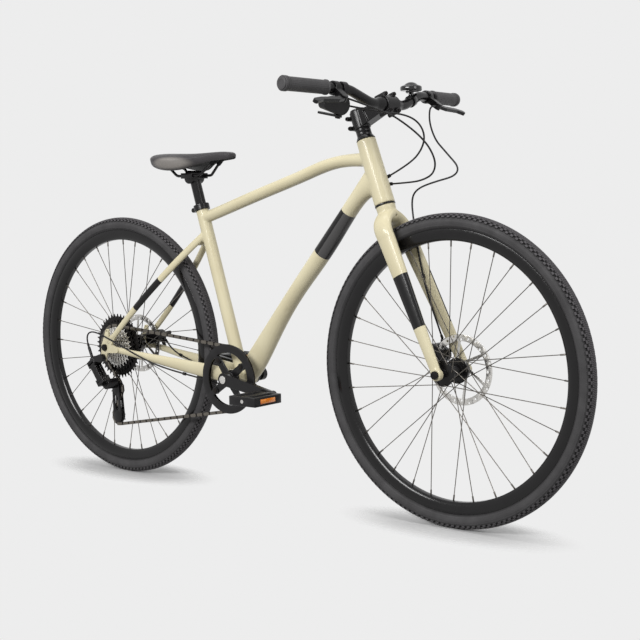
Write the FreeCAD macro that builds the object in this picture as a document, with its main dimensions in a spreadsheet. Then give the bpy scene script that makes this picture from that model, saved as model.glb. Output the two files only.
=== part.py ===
"""A hybrid bike as a parametric assembly, in millimetres.

The origin lies on the ground midway between the axles, +X points forward, +Y to the rider's left and +Z up.
"""
import FreeCAD, Part
import Sketcher
import math
import os
import re

V = FreeCAD.Vector
FORWARD = V(1, 0, 0)
LEFT = V(0, 1, 0)
UP = V(0, 0, 1)

DIMENSIONS = [
    # Layout of the frame
    ("wheelbase", 1074.0),
    ("axle_height", 351.0),
    ("chainstay_length", 445.5),
    ("bottom_bracket_drop", 56.0),
    ("seat_angle", 73.0),
    ("seat_tube_length", 456.0),
    ("head_angle", 70.8),
    ("head_tube_length", 156.6),
    ("fork_length", 409.0),
    ("fork_offset", 44.4),
    # Clearances
    ("running_clearance", 0.05),
    ("body_gap", 0.3),
    ("seat_gap", 0.1),
    ("cut_overrun", 10.0),
    # Tyre and rim
    ("tyre_radius", 351.0),
    ("tyre_section", 20.5),
    ("tyre_wall", 3.2),
    ("rim_inner_radius", 290.0),
    ("rim_shoulder", 8.0),
    ("rim_bed", 13.0),
    ("rim_depth", 27.0),
    ("rim_half_width", 12.5),
    ("rim_base_half", 7.0),
    ("rim_wall", 2.2),
    # Spokes and hubs
    ("spoke_radius", 1.0),
    ("nipple_radius", 1.9),
    ("nipple_length", 13.0),
    ("spoke_rim_offset", 3.0),
    ("spoke_flare", 1.0),
    ("hub_flange_radius", 29.0),
    ("hub_hole_radius", 25.5),
    ("hub_flange_thickness", 3.0),
    ("hub_shell_radius", 15.0),
    ("hub_end_radius", 10.0),
    ("hub_boss_radius", 24.0),
    ("hub_pilot_radius", 16.8),
    ("hub_pilot_length", 5.0),
    ("front_hub_width", 100.0),
    ("front_left_flange", 22.0),
    ("front_right_flange", 34.0),
    ("front_rotor_face", 39.1),
    ("rear_hub_width", 135.0),
    ("rear_left_flange", 33.0),
    ("rear_right_flange", 18.0),
    ("rear_rotor_face", 52.2),
    ("axle_radius", 5.0),
    ("axle_end_radius", 9.0),
    ("axle_end_length", 5.0),
    # Brake rotors and calipers
    ("rotor_radius", 80.0),
    ("rotor_track", 15.0),
    ("rotor_hub_radius", 23.0),
    ("rotor_thickness", 1.8),
    ("rotor_hole_radius", 2.6),
    ("rotor_arm_width", 7.0),
    ("caliper_reach", 70.0),
    ("caliper_spread", 9.0),
    ("caliper_radius", 17.0),
    ("caliper_width", 31.0),
    ("caliper_slot", 3.6),
    ("caliper_edge_gap", 2.0),
    ("caliper_pin_radius", 3.0),
    ("caliper_arm_length", 38.0),
    ("caliper_arm_root", 9.0),
    ("caliper_arm_tip", 5.0),
    ("caliper_arm_thickness", 4.0),
    ("caliper_mount_radius", 5.0),
    # Frame tubes
    ("head_tube_top_radius", 22.5),
    ("head_tube_bottom_radius", 24.0),
    ("head_tube_bore", 19.5),
    ("seat_tube_radius", 16.5),
    ("post_radius", 13.6),
    ("top_tube_drop", 36.0),
    ("top_tube_head_drop", 48.0),
    ("top_tube_bend_length", 102.0),
    ("top_tube_bend_ease", 32.0),
    ("top_tube_rear_height", 30.0),
    ("top_tube_rear_width", 28.0),
    ("top_tube_bend_height", 29.5),
    ("top_tube_bend_width", 33.0),
    ("top_tube_head_height", 34.5),
    ("top_tube_head_width", 36.0),
    ("down_tube_height", 44.5),
    ("down_tube_width", 42.0),
    ("down_tube_foot_height", 40.0),
    ("down_tube_foot_width", 38.0),
    ("down_tube_axis_rise", 79.0),
    ("down_tube_head_rise", 61.0),
    ("down_tube_head_height", 88.0),
    ("down_tube_head_width", 40.0),
    ("down_tube_neck_height", 39.0),
    ("bb_shell_radius", 22.5),
    ("bb_shell_width", 73.0),
    ("bb_shell_bore", 18.0),
    ("bb_cup_depth", 16.0),
    ("bb_cup_flange", 6.0),
    ("bb_cup_flange_radius", 21.5),
    ("bearing_height", 10.0),
    ("chainstay_root_y", 23.0),
    ("chainstay_waist_y", 34.6),
    ("chainstay_waist_back", 92.0),
    ("chainstay_mid_y", 50.0),
    ("chainstay_mid_back", 235.0),
    ("chainstay_end_y", 70.5),
    ("chainstay_end_gap", 16.0),
    ("chainstay_root_height", 36.0),
    ("chainstay_root_width", 20.0),
    ("chainstay_waist_height", 38.0),
    ("chainstay_waist_width", 16.5),
    ("chainstay_mid_height", 27.0),
    ("chainstay_end_height", 19.0),
    ("chainstay_end_width", 10.0),
    ("seatstay_drop", 76.0),
    ("seatstay_root_y", 8.2),
    ("seatstay_spread_y", 36.0),
    ("seatstay_end_y", 70.5),
    ("seatstay_end_gap", 16.0),
    ("seatstay_height", 20.0),
    ("seatstay_width", 14.0),
    ("seatstay_end_height", 16.0),
    ("seatstay_end_width", 10.0),
    ("bridge_radius", 6.0),
    ("dropout_thickness", 6.4),
    ("dropout_radius", 15.0),
    ("hanger_back", 8.0),
    ("hanger_drop", 29.0),
    ("hanger_radius", 9.0),
    ("eyelet_radius", 2.5),
    ("eyelet_boss_radius", 5.5),
    ("eyelet_rise", 46.0),
    ("collar_wall", 4.0),
    ("collar_height", 15.0),
    ("collar_lug_radius", 6.0),
    ("collar_lug_width", 20.0),
    ("collar_slot", 1.5),
    # Fork and headset
    ("steerer_radius", 14.3),
    ("steerer_bore", 11.5),
    ("crown_race_height", 3.0),
    ("crown_top_radius", 23.0),
    ("crown_neck_radius", 21.5),
    ("crown_depth", 44.0),
    ("crown_half_length", 25.0),
    ("crown_half_height", 19.0),
    ("crown_rise", 26.0),
    ("shoulder_y", 29.0),
    ("shoulder_drop", 43.0),
    ("leg_top_y", 40.0),
    ("leg_top_drop", 84.0),
    ("leg_top_length", 46.0),
    ("leg_top_width", 24.0),
    ("leg_top_fore", 6.0),
    ("leg_mid_length", 36.0),
    ("leg_mid_width", 21.0),
    ("leg_end_length", 25.0),
    ("leg_end_width", 14.0),
    ("fork_end_y", 57.4),
    ("fork_end_radius", 13.5),
    ("crown_hole_radius", 2.7),
    ("crown_hole_drop", 33.0),
    ("cover_height", 8.0),
    ("cover_top_radius", 18.5),
    ("spacer_radius", 17.5),
    ("spacer_height", 9.0),
    ("spacer_count", 2),
    ("cap_height", 4.0),
    # Stem and bar
    ("stem_clamp_height", 42.0),
    ("stem_clamp_radius", 20.0),
    ("stem_reach", 84.5),
    ("stem_rise", 3.5),
    ("stem_half_width", 16.0),
    ("stem_nose_half_height", 12.5),
    ("stem_bar_radius", 20.0),
    ("stem_bar_width", 44.0),
    ("stem_scoop", 3.0),
    ("faceplate_split", 1.0),
    ("bolt_head_radius", 4.4),
    ("bolt_head_length", 5.0),
    ("bar_radius", 11.1),
    ("bar_clamp_radius", 15.9),
    ("bar_clamp_half", 28.0),
    ("bar_taper", 18.0),
    ("bar_centre_half", 62.0),
    ("bar_rise_y", 132.0),
    ("bar_rise_back", 8.0),
    ("bar_rise_up", 26.0),
    ("bar_end_y", 320.5),
    ("bar_end_back", 33.0),
    ("bar_end_up", 29.5),
    ("bar_bend_radius", 75.0),
    ("grip_length", 128.0),
    ("grip_radius", 15.4),
    ("grip_collar_radius", 16.6),
    ("grip_collar_length", 10.0),
    ("grip_end_wall", 4.0),
    # Levers and shifter
    ("lever_inset", 148.0),
    ("lever_angle", 38.0),
    ("bracket_length", 14.0),
    ("bracket_wall", 4.5),
    ("bracket_thickness", 15.0),
    ("bracket_root_radius", 9.0),
    ("bracket_tip_radius", 8.0),
    ("lever_pivot_reach", 37.0),
    ("lever_pin_radius", 2.5),
    ("lever_thickness", 8.0),
    ("lever_root_radius", 6.5),
    ("lever_elbow_out", 24.0),
    ("lever_elbow_reach", 46.0),
    ("lever_elbow_radius", 5.5),
    ("lever_finger_out", 74.0),
    ("lever_finger_reach", 51.0),
    ("lever_finger_radius", 4.8),
    ("lever_tip_out", 97.0),
    ("lever_tip_reach", 59.0),
    ("lever_tip_radius", 6.0),
    ("shifter_inset", 24.0),
    ("shifter_drop", 35.0),
    ("shifter_radius", 21.0),
    ("shifter_nose_radius", 12.0),
    ("shifter_thickness", 22.0),
    ("shifter_neck_radius", 9.0),
    ("shift_pin_radius", 3.0),
    ("shift_lever_thickness", 5.0),
    ("shift_lever_length", 40.0),
    ("shift_lever_root", 9.0),
    ("shift_lever_tip", 7.0),
    # Bell
    ("bell_radius", 21.0),
    ("bell_height", 15.0),
    ("bell_wall", 1.6),
    ("bell_rim", 4.0),
    ("bell_stand", 13.0),
    ("bell_post_radius", 6.0),
    ("bell_base_radius", 19.0),
    ("bell_base_height", 4.0),
    ("bell_band_length", 12.0),
    ("bell_band_wall", 3.0),
    ("striker_reach", 27.0),
    ("striker_root", 3.5),
    ("striker_tip", 4.5),
    ("striker_thickness", 4.0),
    ("striker_pin_radius", 1.2),
    # Seat
    ("post_length", 330.0),
    ("post_exposed", 66.0),
    ("post_wall", 2.4),
    ("post_head_radius", 17.0),
    ("post_head_width", 40.0),
    ("rail_radius", 3.5),
    ("rail_half_gap", 22.0),
    ("rail_lift", 15.0),
    ("saddle_length", 256.0),
    ("saddle_half_width", 77.0),
    ("saddle_height", 37.0),
    ("saddle_top", 868.0),
    ("saddle_back", 136.7),
    ("rail_front_reach", 92.0),
    ("rail_back_reach", 82.0),
    ("rail_front_half", 9.0),
    ("rail_back_half", 30.0),
    ("rail_bend_radius", 18.0),
    # Cranks and pedals
    ("chain_pitch", 12.7),
    ("chain_line", 49.0),
    ("ring_teeth", 40),
    ("ring_thickness", 1.5),
    ("ring_inner_radius", 67.0),
    ("ring_tab_radius", 9.0),
    ("ring_bolt_circle", 56.0),
    ("ring_bolt_radius", 3.9),
    ("ring_bolt_head", 6.0),
    ("spider_thickness", 4.0),
    ("spider_root_radius", 12.0),
    ("guard_radius", 87.5),
    ("guard_inner_radius", 67.0),
    ("guard_thickness", 3.0),
    ("tooth_height", 3.2),
    ("roller_seat_radius", 4.4),
    ("tooth_tip_half", 1.1),
    ("crank_length", 170.0),
    ("crank_angle", -8.7),
    ("crank_hub_radius", 17.0),
    ("crank_hub_inner", 59.0),
    ("crank_hub_outer", 74.0),
    ("crank_eye_radius", 12.5),
    ("crank_eye_inner", 72.0),
    ("crank_eye_outer", 87.0),
    ("crank_thickness", 13.0),
    ("crank_blade_inset", 1.5),
    ("spindle_radius", 8.5),
    ("crank_bolt_radius", 10.0),
    ("crank_bolt_length", 2.0),
    ("pedal_axle_radius", 4.5),
    ("pedal_axle_collar", 8.0),
    ("pedal_axle_collar_length", 4.0),
    ("pedal_width", 94.0),
    ("pedal_length", 82.0),
    ("pedal_height", 22.0),
    ("pedal_wall", 9.0),
    ("pedal_barrel_radius", 10.0),
    ("reflector_width", 52.0),
    ("reflector_height", 11.0),
    ("reflector_depth", 3.0),
    # Cassette and chain
    ("cog_thickness", 1.6),
    ("cog_pitch", 3.95),
    ("cassette_outer", 61.0),
    ("freehub_radius", 17.0),
    ("cog_spacer_radius", 20.0),
    ("lockring_length", 3.0),
    ("roller_radius", 3.85),
    ("link_inner_gap", 2.3),
    ("link_plate_thickness", 0.85),
    ("link_plate_gap", 0.05),
    ("link_plate_radius", 4.1),
    # Derailleur
    ("cage_pivot_drop", 101.4),
    ("cage_pivot_back", 3.0),
    ("guide_offset", 16.0),
    ("cage_length", 76.0),
    ("pulley_teeth", 11),
    ("pulley_thickness", 2.2),
    ("pulley_hub_radius", 6.0),
    ("pulley_pin_radius", 2.5),
    ("cage_half_gap", 4.4),
    ("cage_thickness", 2.0),
    ("cage_guide_radius", 14.0),
    ("cage_tension_radius", 17.0),
    ("knuckle_radius", 14.0),
    ("knuckle_inner", 40.2),
    ("knuckle_outer", 74.0),
    ("cage_pin_radius", 4.0),
    ("link_upper_back", 41.0),
    ("link_upper_drop", 49.0),
    ("link_lower_back", 12.0),
    ("link_lower_drop", 88.0),
    ("link_outer_y", 84.0),
    ("link_inner_y", 68.0),
    ("link_barrel_radius", 4.5),
    ("link_half_width", 10.0),
    ("link_ear_thickness", 4.0),
    ("link_pin_radius", 1.6),
    ("hanger_bolt_radius", 5.0),
    ("adjuster_radius", 4.0),
    # Cables
    ("housing_radius", 2.4),
    ("caliper_boss_radius", 4.2),
    ("caliper_boss_inset", 4.6),
    ("caliper_boss_start", 8.0),
    ("caliper_boss_end", 30.0),
    ("caliper_leg_near", 58.0),
    ("caliper_leg_far", 84.0),
    ("caliper_leg_inset", 8.3),
    ("link_block_back", 14.0),
    ("link_block_front", 5.0),
    ("link_block_width", 28.0),
    ("adjuster_back", 23.7),
    ("adjuster_rise", 46.6),
    ("hanger_knuckle_radius", 11.0),
    ("hanger_knuckle_length", 13.0),
    ("cable_guide_length", 36.0),
    ("cable_guide_width", 60.0),
    ("cable_guide_height", 7.0),
    ("clip_length", 8.0),
    ("port_length", 5.0),
    ("cable_end_gap", 0.9),
    ("guide_radius", 4.0),
]
COG_TEETH = [11, 13, 15, 17, 19, 21, 24, 28, 34, 42]
CHAIN_COG = 7
SPOKE_COUNT = 32
ROTOR_ARMS = 6
ROTOR_HOLE_ROWS = 3
RING_BOLTS = 4

doc = FreeCAD.newDocument("HybridBike")
sheet = doc.addObject("Spreadsheet::Sheet", "Dimensions")
for row, (alias, value) in enumerate(DIMENSIONS, 1):
    sheet.set(f"A{row}", alias)
    sheet.set(f"B{row}", str(value))
    sheet.setAlias(f"B{row}", alias)
doc.recompute()
nodes = []


class Sizes:
    """Reads a driving dimension from the sheet by its alias."""

    def __getattr__(self, alias):
        return float(sheet.get(alias))


size = Sizes()


def bound(text):
    """The expression for a formula of aliases."""
    return re.sub(r"[a-z_]+", lambda word: "Dimensions." + word.group(0), text)


def as_node(label, thing):
    thing.Label = label
    nodes.append(thing)
    return thing


def feature(label, shape):
    """A node whose shape is worked out in code; several solids make a compound."""
    thing = doc.addObject("Part::Feature", label)
    thing.Shape = shape if not isinstance(shape, list) else Part.makeCompound(shape)
    return as_node(label, thing)


def group(label, members):
    """A node of several document objects that stay separate solids."""
    thing = doc.addObject("Part::Compound", label)
    thing.Links = members
    return as_node(label, thing)


def revolved(label, profile, placement):
    """A turned body: the profile's points are (radius, height along the axis), as formulas of aliases."""
    body = doc.addObject("PartDesign::Body", label)
    sketch = body.newObject("Sketcher::SketchObject", label + "_profile")
    plane = [item for item in body.Origin.OriginFeatures if item.Role == "XZ_Plane"][0]
    sketch.AttachmentSupport = [(plane, "")]
    sketch.MapMode = "FlatFace"
    count = len(profile)
    turns = [2 * math.pi * index / count for index in range(count)]
    corners = [V(2 + math.cos(turn), math.sin(turn), 0) for turn in turns]
    for index in range(count):
        sketch.addGeometry(Part.LineSegment(corners[index], corners[(index + 1) % count]), False)
    for index in range(count):
        sketch.addConstraint(Sketcher.Constraint("Coincident", index, 2, (index + 1) % count, 1))
    for index, point in enumerate(profile):
        for kind, axis, text in (("DistanceX", -2, point[0]), ("DistanceY", -1, point[1])):
            if text == "0":
                sketch.addConstraint(Sketcher.Constraint("PointOnObject", index, 1, axis))
                continue
            number = sketch.addConstraint(Sketcher.Constraint(kind, -1, 1, index, 1, 1.0))
            sketch.setExpression(f"Constraints[{number}]", bound(text))
    turning = body.newObject("PartDesign::Revolution", label + "_turning")
    turning.Profile = sketch
    turning.ReferenceAxis = (sketch, ["V_Axis"])
    turning.Angle = 360.0
    body.Placement = placement
    doc.recompute()
    return body


def primitive(kind, label, sizes, placement=None):
    """A Part primitive with its sizes bound to formulas of aliases."""
    thing = doc.addObject("Part::" + kind, label)
    for name, text in sizes.items():
        thing.setExpression(name, bound(text))
    if placement:
        thing.Placement = placement
    return thing


def axes(origin, x_axis, z_axis):
    """A placement with its local X and Z along the given directions."""
    z_unit = V(z_axis).normalize()
    x_unit = V(x_axis) - z_unit * V(x_axis).dot(z_unit)
    x_unit.normalize()
    y_unit = z_unit.cross(x_unit)
    return FreeCAD.Placement(FreeCAD.Matrix(
        x_unit.x, y_unit.x, z_unit.x, origin.x,
        x_unit.y, y_unit.y, z_unit.y, origin.y,
        x_unit.z, y_unit.z, z_unit.z, origin.z, 0, 0, 0, 1))


def across(centre):
    """A placement whose local Z runs to the rider's left, as an axle does."""
    return axes(centre, FORWARD, LEFT)


def polar(angle, radius, y=0.0):
    """A point about an axle, with the angle in degrees from forward towards up."""
    turn = math.radians(angle)
    return V(radius * math.cos(turn), y, radius * math.sin(turn))


def rod(start, end, radius):
    return Part.makeCylinder(radius, (end - start).Length, start, end - start)


def bored(start, end, outer, inner):
    """A straight tube."""
    step = (end - start).normalize() * size.cut_overrun
    return rod(start, end, outer).cut(rod(start - step, end + step, inner))


def disc(centre, near_y, far_y, radius):
    """A round plate across the bike, between two places to its side."""
    low, high = sorted((near_y, far_y))
    return Part.makeCylinder(radius, high - low, V(centre.x, low, centre.z), LEFT)


def ring(centre, near_y, far_y, outer, inner):
    low, high = sorted((near_y, far_y))
    over = size.cut_overrun
    return disc(centre, low, high, outer).cut(disc(centre, low - over, high + over, inner))


def blade(start, end, start_radius, end_radius, thickness, normal):
    """A flat link round two centres: two arcs and their outer tangents, as thick as given about its plane."""
    span = (end - start).Length
    lean = math.asin((start_radius - end_radius) / span)
    cosine, sine = math.cos(lean), math.sin(lean)
    near = [V(start_radius * sine, start_radius * cosine, 0), V(-start_radius, 0, 0),
            V(start_radius * sine, -start_radius * cosine, 0)]
    far = [V(span + end_radius * sine, -end_radius * cosine, 0), V(span + end_radius, 0, 0),
           V(span + end_radius * sine, end_radius * cosine, 0)]
    outline = Part.Wire([Part.Arc(*near).toShape(), Part.LineSegment(near[2], far[0]).toShape(),
                         Part.Arc(*far).toShape(), Part.LineSegment(far[2], near[0]).toShape()])
    plate = Part.Face(outline).extrude(V(0, 0, thickness))
    plate.translate(V(0, 0, -thickness / 2))
    plate.Placement = axes(start, end - start, normal).multiply(plate.Placement)
    return plate


def oval(centre, across_unit, up_unit, half_across, half_up):
    """An elliptical section that starts at the same side whichever way it is longer."""
    if half_up >= half_across:
        curve = Part.Ellipse(centre + up_unit * half_up, centre - across_unit * half_across, centre)
    else:
        curve = Part.Ellipse(centre + across_unit * half_across, centre + up_unit * half_up, centre)
    return Part.Wire(curve.toShape())


def tube_loft(sections, ruled=False):
    """A tapered tube: each section is (centre, direction, height, width), with its width level."""
    wires = []
    for centre, direction, height, width in sections:
        along = V(direction).normalize()
        side = V(LEFT) - along * LEFT.dot(along)
        side.normalize()
        wires.append(oval(centre, side, along.cross(side), width / 2, height / 2))
    return Part.makeLoft(wires, True, ruled)


def mirrored(shape):
    """The same piece on the other side of the bike."""
    return shape.mirror(V(0, 0, 0), LEFT)


def joined(shapes):
    """One solid from overlapping shapes."""
    return shapes[0].multiFuse(shapes[1:]).removeSplitter()


def bent_path(points, bend_radius=None):
    """Straight runs joined by tangent arcs; without a radius each arc is as large as its runs allow."""
    reach_share = 0.45
    edges = []
    radii = []
    last = points[0]
    for before, corner, after in zip(points, points[1:], points[2:]):
        run_in = (corner - before).Length
        run_out = (after - corner).Length
        to_corner = (corner - before).normalize()
        onward = (after - corner).normalize()
        half_turn = to_corner.getAngle(onward) / 2
        setback = reach_share * min(run_in, run_out)
        radius = setback / math.tan(half_turn)
        if bend_radius and bend_radius < radius:
            radius = bend_radius
            setback = radius * math.tan(half_turn)
        inward = (onward - to_corner).normalize()
        centre = corner + inward * (radius / math.cos(half_turn))
        start = corner - to_corner * setback
        end = corner + onward * setback
        edges.append(Part.LineSegment(last, start).toShape())
        edges.append(Part.Arc(start, centre - inward * radius, end).toShape())
        radii.append(radius)
        last = end
    edges.append(Part.LineSegment(last, points[-1]).toShape())
    return Part.Wire(edges), radii


def bent_rod(points, radius, bend_radius=None):
    path = bent_path(points, bend_radius)[0]
    section = Part.Wire(Part.Circle(points[0], points[1] - points[0], radius).toShape())
    return path.makePipeShell([section], True, False)


def cable(name, points, radius):
    """A cable housing along its route, with its bend radii and volume printed."""
    path, radii = bent_path(points)
    solid = bent_rod(points, radius)
    expected = math.pi * radius ** 2 * path.Length
    print(f"{name}: length {path.Length:.1f}, radii {[round(value, 1) for value in radii]}, "
          f"volume over section times length {solid.Volume / expected:.4f}")
    return solid


# Layout: the points and directions that the pieces share
half_base = size.wheelbase / 2
REAR = V(-half_base, 0, size.axle_height)
FRONT = V(half_base, 0, size.axle_height)
bracket_ahead = math.sqrt(size.chainstay_length ** 2 - size.bottom_bracket_drop ** 2)
BRACKET = REAR + V(bracket_ahead, 0, -size.bottom_bracket_drop)
SEAT_UP = polar(180 - size.seat_angle, 1)
COLLAR = BRACKET + SEAT_UP * size.seat_tube_length
HEAD_UP = polar(180 - size.head_angle, 1)
HEAD_FORE = polar(90 - size.head_angle, 1)
HEAD = FRONT - HEAD_FORE * size.fork_offset + HEAD_UP * size.fork_length
HEAD_TOP = HEAD + HEAD_UP * size.head_tube_length


def steered(fore, y, rise):
    """A point in the steering's own directions, from the foot of the head tube."""
    return HEAD + HEAD_FORE * fore + LEFT * y + HEAD_UP * rise


HEAD_PLACE = axes(HEAD, HEAD_FORE, HEAD_UP)


# Wheels
def make_tyre(label, centre):
    outer = primitive("Torus", label + "_casing",
                      {"Radius1": "tyre_radius - tyre_section", "Radius2": "tyre_section"})
    inner = primitive("Torus", label + "_cavity",
                      {"Radius1": "tyre_radius - tyre_section", "Radius2": "tyre_section - tyre_wall"})
    seat = primitive("Cylinder", label + "_seat", {"Radius": "rim_inner_radius + rim_depth + seat_gap",
                                                   "Height": "4 * tyre_section"})
    seat.setExpression("Placement.Base.z", bound("-2 * tyre_section"))
    hollow = doc.addObject("Part::MultiFuse", label + "_hollow")
    hollow.Shapes = [inner, seat]
    cut = doc.addObject("Part::Cut", label)
    cut.Base = outer
    cut.Tool = hollow
    cut.Placement = across(centre)
    return as_node(label, cut)


RIM_PROFILE = [
    ("rim_inner_radius", "-rim_base_half"),
    ("rim_inner_radius + rim_shoulder", "-rim_half_width"),
    ("rim_inner_radius + rim_depth", "-rim_half_width"),
    ("rim_inner_radius + rim_depth", "rim_wall - rim_half_width"),
    ("rim_inner_radius + rim_bed", "rim_wall - rim_half_width"),
    ("rim_inner_radius + rim_bed", "rim_half_width - rim_wall"),
    ("rim_inner_radius + rim_depth", "rim_half_width - rim_wall"),
    ("rim_inner_radius + rim_depth", "rim_half_width"),
    ("rim_inner_radius + rim_shoulder", "rim_half_width"),
    ("rim_inner_radius", "rim_base_half"),
]
HUB_BORE = "axle_radius + running_clearance"


def hub_profile(end):
    """The turned hub shell from its right flange to its left end."""
    flange = "hub_flange_thickness / 2"
    left, right, face = f"{end}_left_flange", f"{end}_right_flange", f"{end}_rotor_face"
    tip = f"{end}_hub_width / 2 - body_gap"
    return [
        ("hub_flange_radius", f"-{right} - {flange}"),
        ("hub_flange_radius", f"{flange} - {right}"),
        ("hub_shell_radius", f"{flange} - {right}"),
        ("hub_shell_radius", f"{left} - {flange}"),
        ("hub_flange_radius", f"{left} - {flange}"),
        ("hub_flange_radius", f"{left} + {flange}"),
        ("hub_boss_radius", f"{left} + {flange}"),
        ("hub_boss_radius", face),
        ("hub_pilot_radius", face),
        ("hub_pilot_radius", f"{face} + hub_pilot_length"),
        ("hub_end_radius", f"{face} + hub_pilot_length"),
        ("hub_end_radius", tip),
        (HUB_BORE, tip),
    ]


def make_spokes(label, centre, left_flange, right_flange):
    """Crossed spokes: each leaves its flange nearly at a tangent, beside the flange's face."""
    per_side = SPOKE_COUNT // 2
    hole_step = 360 / per_side
    crossing = 3 * hole_step
    beside = size.hub_flange_thickness / 2 + size.spoke_radius + size.seat_gap
    rim_radius = size.rim_inner_radius - size.body_gap
    spokes = []
    for side, flange in ((1, left_flange), (-1, right_flange)):
        for index in range(per_side):
            lead = 1 if index % 2 else -1
            hole_angle = index * hole_step + (0 if side > 0 else hole_step / 2)
            flare = size.spoke_flare if lead == side else 0
            hole = centre + polar(hole_angle, size.hub_hole_radius, side * flange + lead * (beside + flare))
            seat = centre + polar(hole_angle - lead * crossing, rim_radius, side * size.spoke_rim_offset)
            inward = (hole - seat).normalize()
            wire = rod(hole, seat, size.spoke_radius)
            nipple = rod(seat, seat + inward * size.nipple_length, size.nipple_radius)
            pieces = [wire, nipple]
            if flare:
                pieces.append(rod(hole, hole - LEFT * (lead * (flare + size.spoke_radius)), size.spoke_radius))
            spokes.append(joined(pieces))
    return feature(label, spokes)


def make_rotor(label, centre, face):
    """A brake disc: a drilled track on swept arms."""
    deep = V(0, 0, size.rotor_thickness)
    inner_radius = size.rotor_hub_radius
    track_radius = size.rotor_radius - size.rotor_track
    sweep = 26.0
    tools = [Part.makeCylinder(size.hub_pilot_radius + size.seat_gap, size.rotor_thickness)]
    for arm in range(ROTOR_ARMS):
        first = math.radians(arm * 360 / ROTOR_ARMS)
        last = math.radians((arm + 1) * 360 / ROTOR_ARMS)
        corners = []
        for radius, swept in ((inner_radius, 0.0), (track_radius, math.radians(sweep))):
            trim = size.rotor_arm_width / 2 / radius
            start, end = first + swept + trim, last + swept - trim
            corners.append([V(radius * math.cos(turn), radius * math.sin(turn), 0)
                            for turn in (start, (start + end) / 2, end)])
        low, high = corners
        window = Part.Wire([Part.Arc(*low).toShape(), Part.LineSegment(low[2], high[2]).toShape(),
                            Part.Arc(*high[::-1]).toShape(), Part.LineSegment(high[0], low[0]).toShape()])
        tools.append(Part.Face(window).extrude(deep))
    columns = 4 * ROTOR_ARMS
    for column in range(columns):
        row = column % ROTOR_HOLE_ROWS
        radius = track_radius + size.rotor_track * (row + 1) / (ROTOR_HOLE_ROWS + 1)
        turn = 2 * math.pi * column / columns
        spot = V(radius * math.cos(turn), radius * math.sin(turn), 0)
        tools.append(Part.makeCylinder(size.rotor_hole_radius, size.rotor_thickness, spot))
    plate = Part.makeCylinder(size.rotor_radius, size.rotor_thickness).cut(Part.makeCompound(tools))
    plate.Placement = across(centre + LEFT * face)
    return feature(label, plate)


for end, centre in (("front", FRONT), ("rear", REAR)):
    make_tyre(end + "_tyre", centre)
    as_node(end + "_rim", revolved(end + "_rim", RIM_PROFILE, across(centre)))
    profile = hub_profile(end)
    if end == "front":
        tip = "body_gap - front_hub_width / 2"
        flange_face = "-front_right_flange - hub_flange_thickness / 2"
        profile = [(HUB_BORE, tip), ("hub_end_radius", tip), ("hub_end_radius", flange_face)] + profile
    else:
        profile = [(HUB_BORE, "-rear_right_flange - hub_flange_thickness / 2")] + profile
    as_node(end + "_hub", revolved(end + "_hub", profile, across(centre)))
make_spokes("front_spokes", FRONT, size.front_left_flange, size.front_right_flange)
make_spokes("rear_spokes", REAR, size.rear_left_flange, size.rear_right_flange)
make_rotor("front_rotor", FRONT, size.front_rotor_face)
make_rotor("rear_rotor", REAR, size.rear_rotor_face)


def axle_profile(half_width):
    """An axle with a round end outside each dropout."""
    seat = f"({half_width} + seat_gap)"
    tip = f"({half_width} + seat_gap + axle_end_length)"
    return [("0", "-" + tip), ("axle_end_radius", "-" + tip), ("axle_end_radius", "-" + seat),
            ("axle_radius", "-" + seat), ("axle_radius", seat), ("axle_end_radius", seat),
            ("axle_end_radius", tip), ("0", tip)]


FORK_END_OUTER = "fork_end_y + leg_end_width / 2"
DROPOUT_OUTER = "rear_hub_width / 2 + seat_gap + dropout_thickness"
as_node("front_axle", revolved("front_axle", axle_profile(FORK_END_OUTER), across(FRONT)))
as_node("rear_axle", revolved("rear_axle", axle_profile(DROPOUT_OUTER), across(REAR)))


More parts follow.
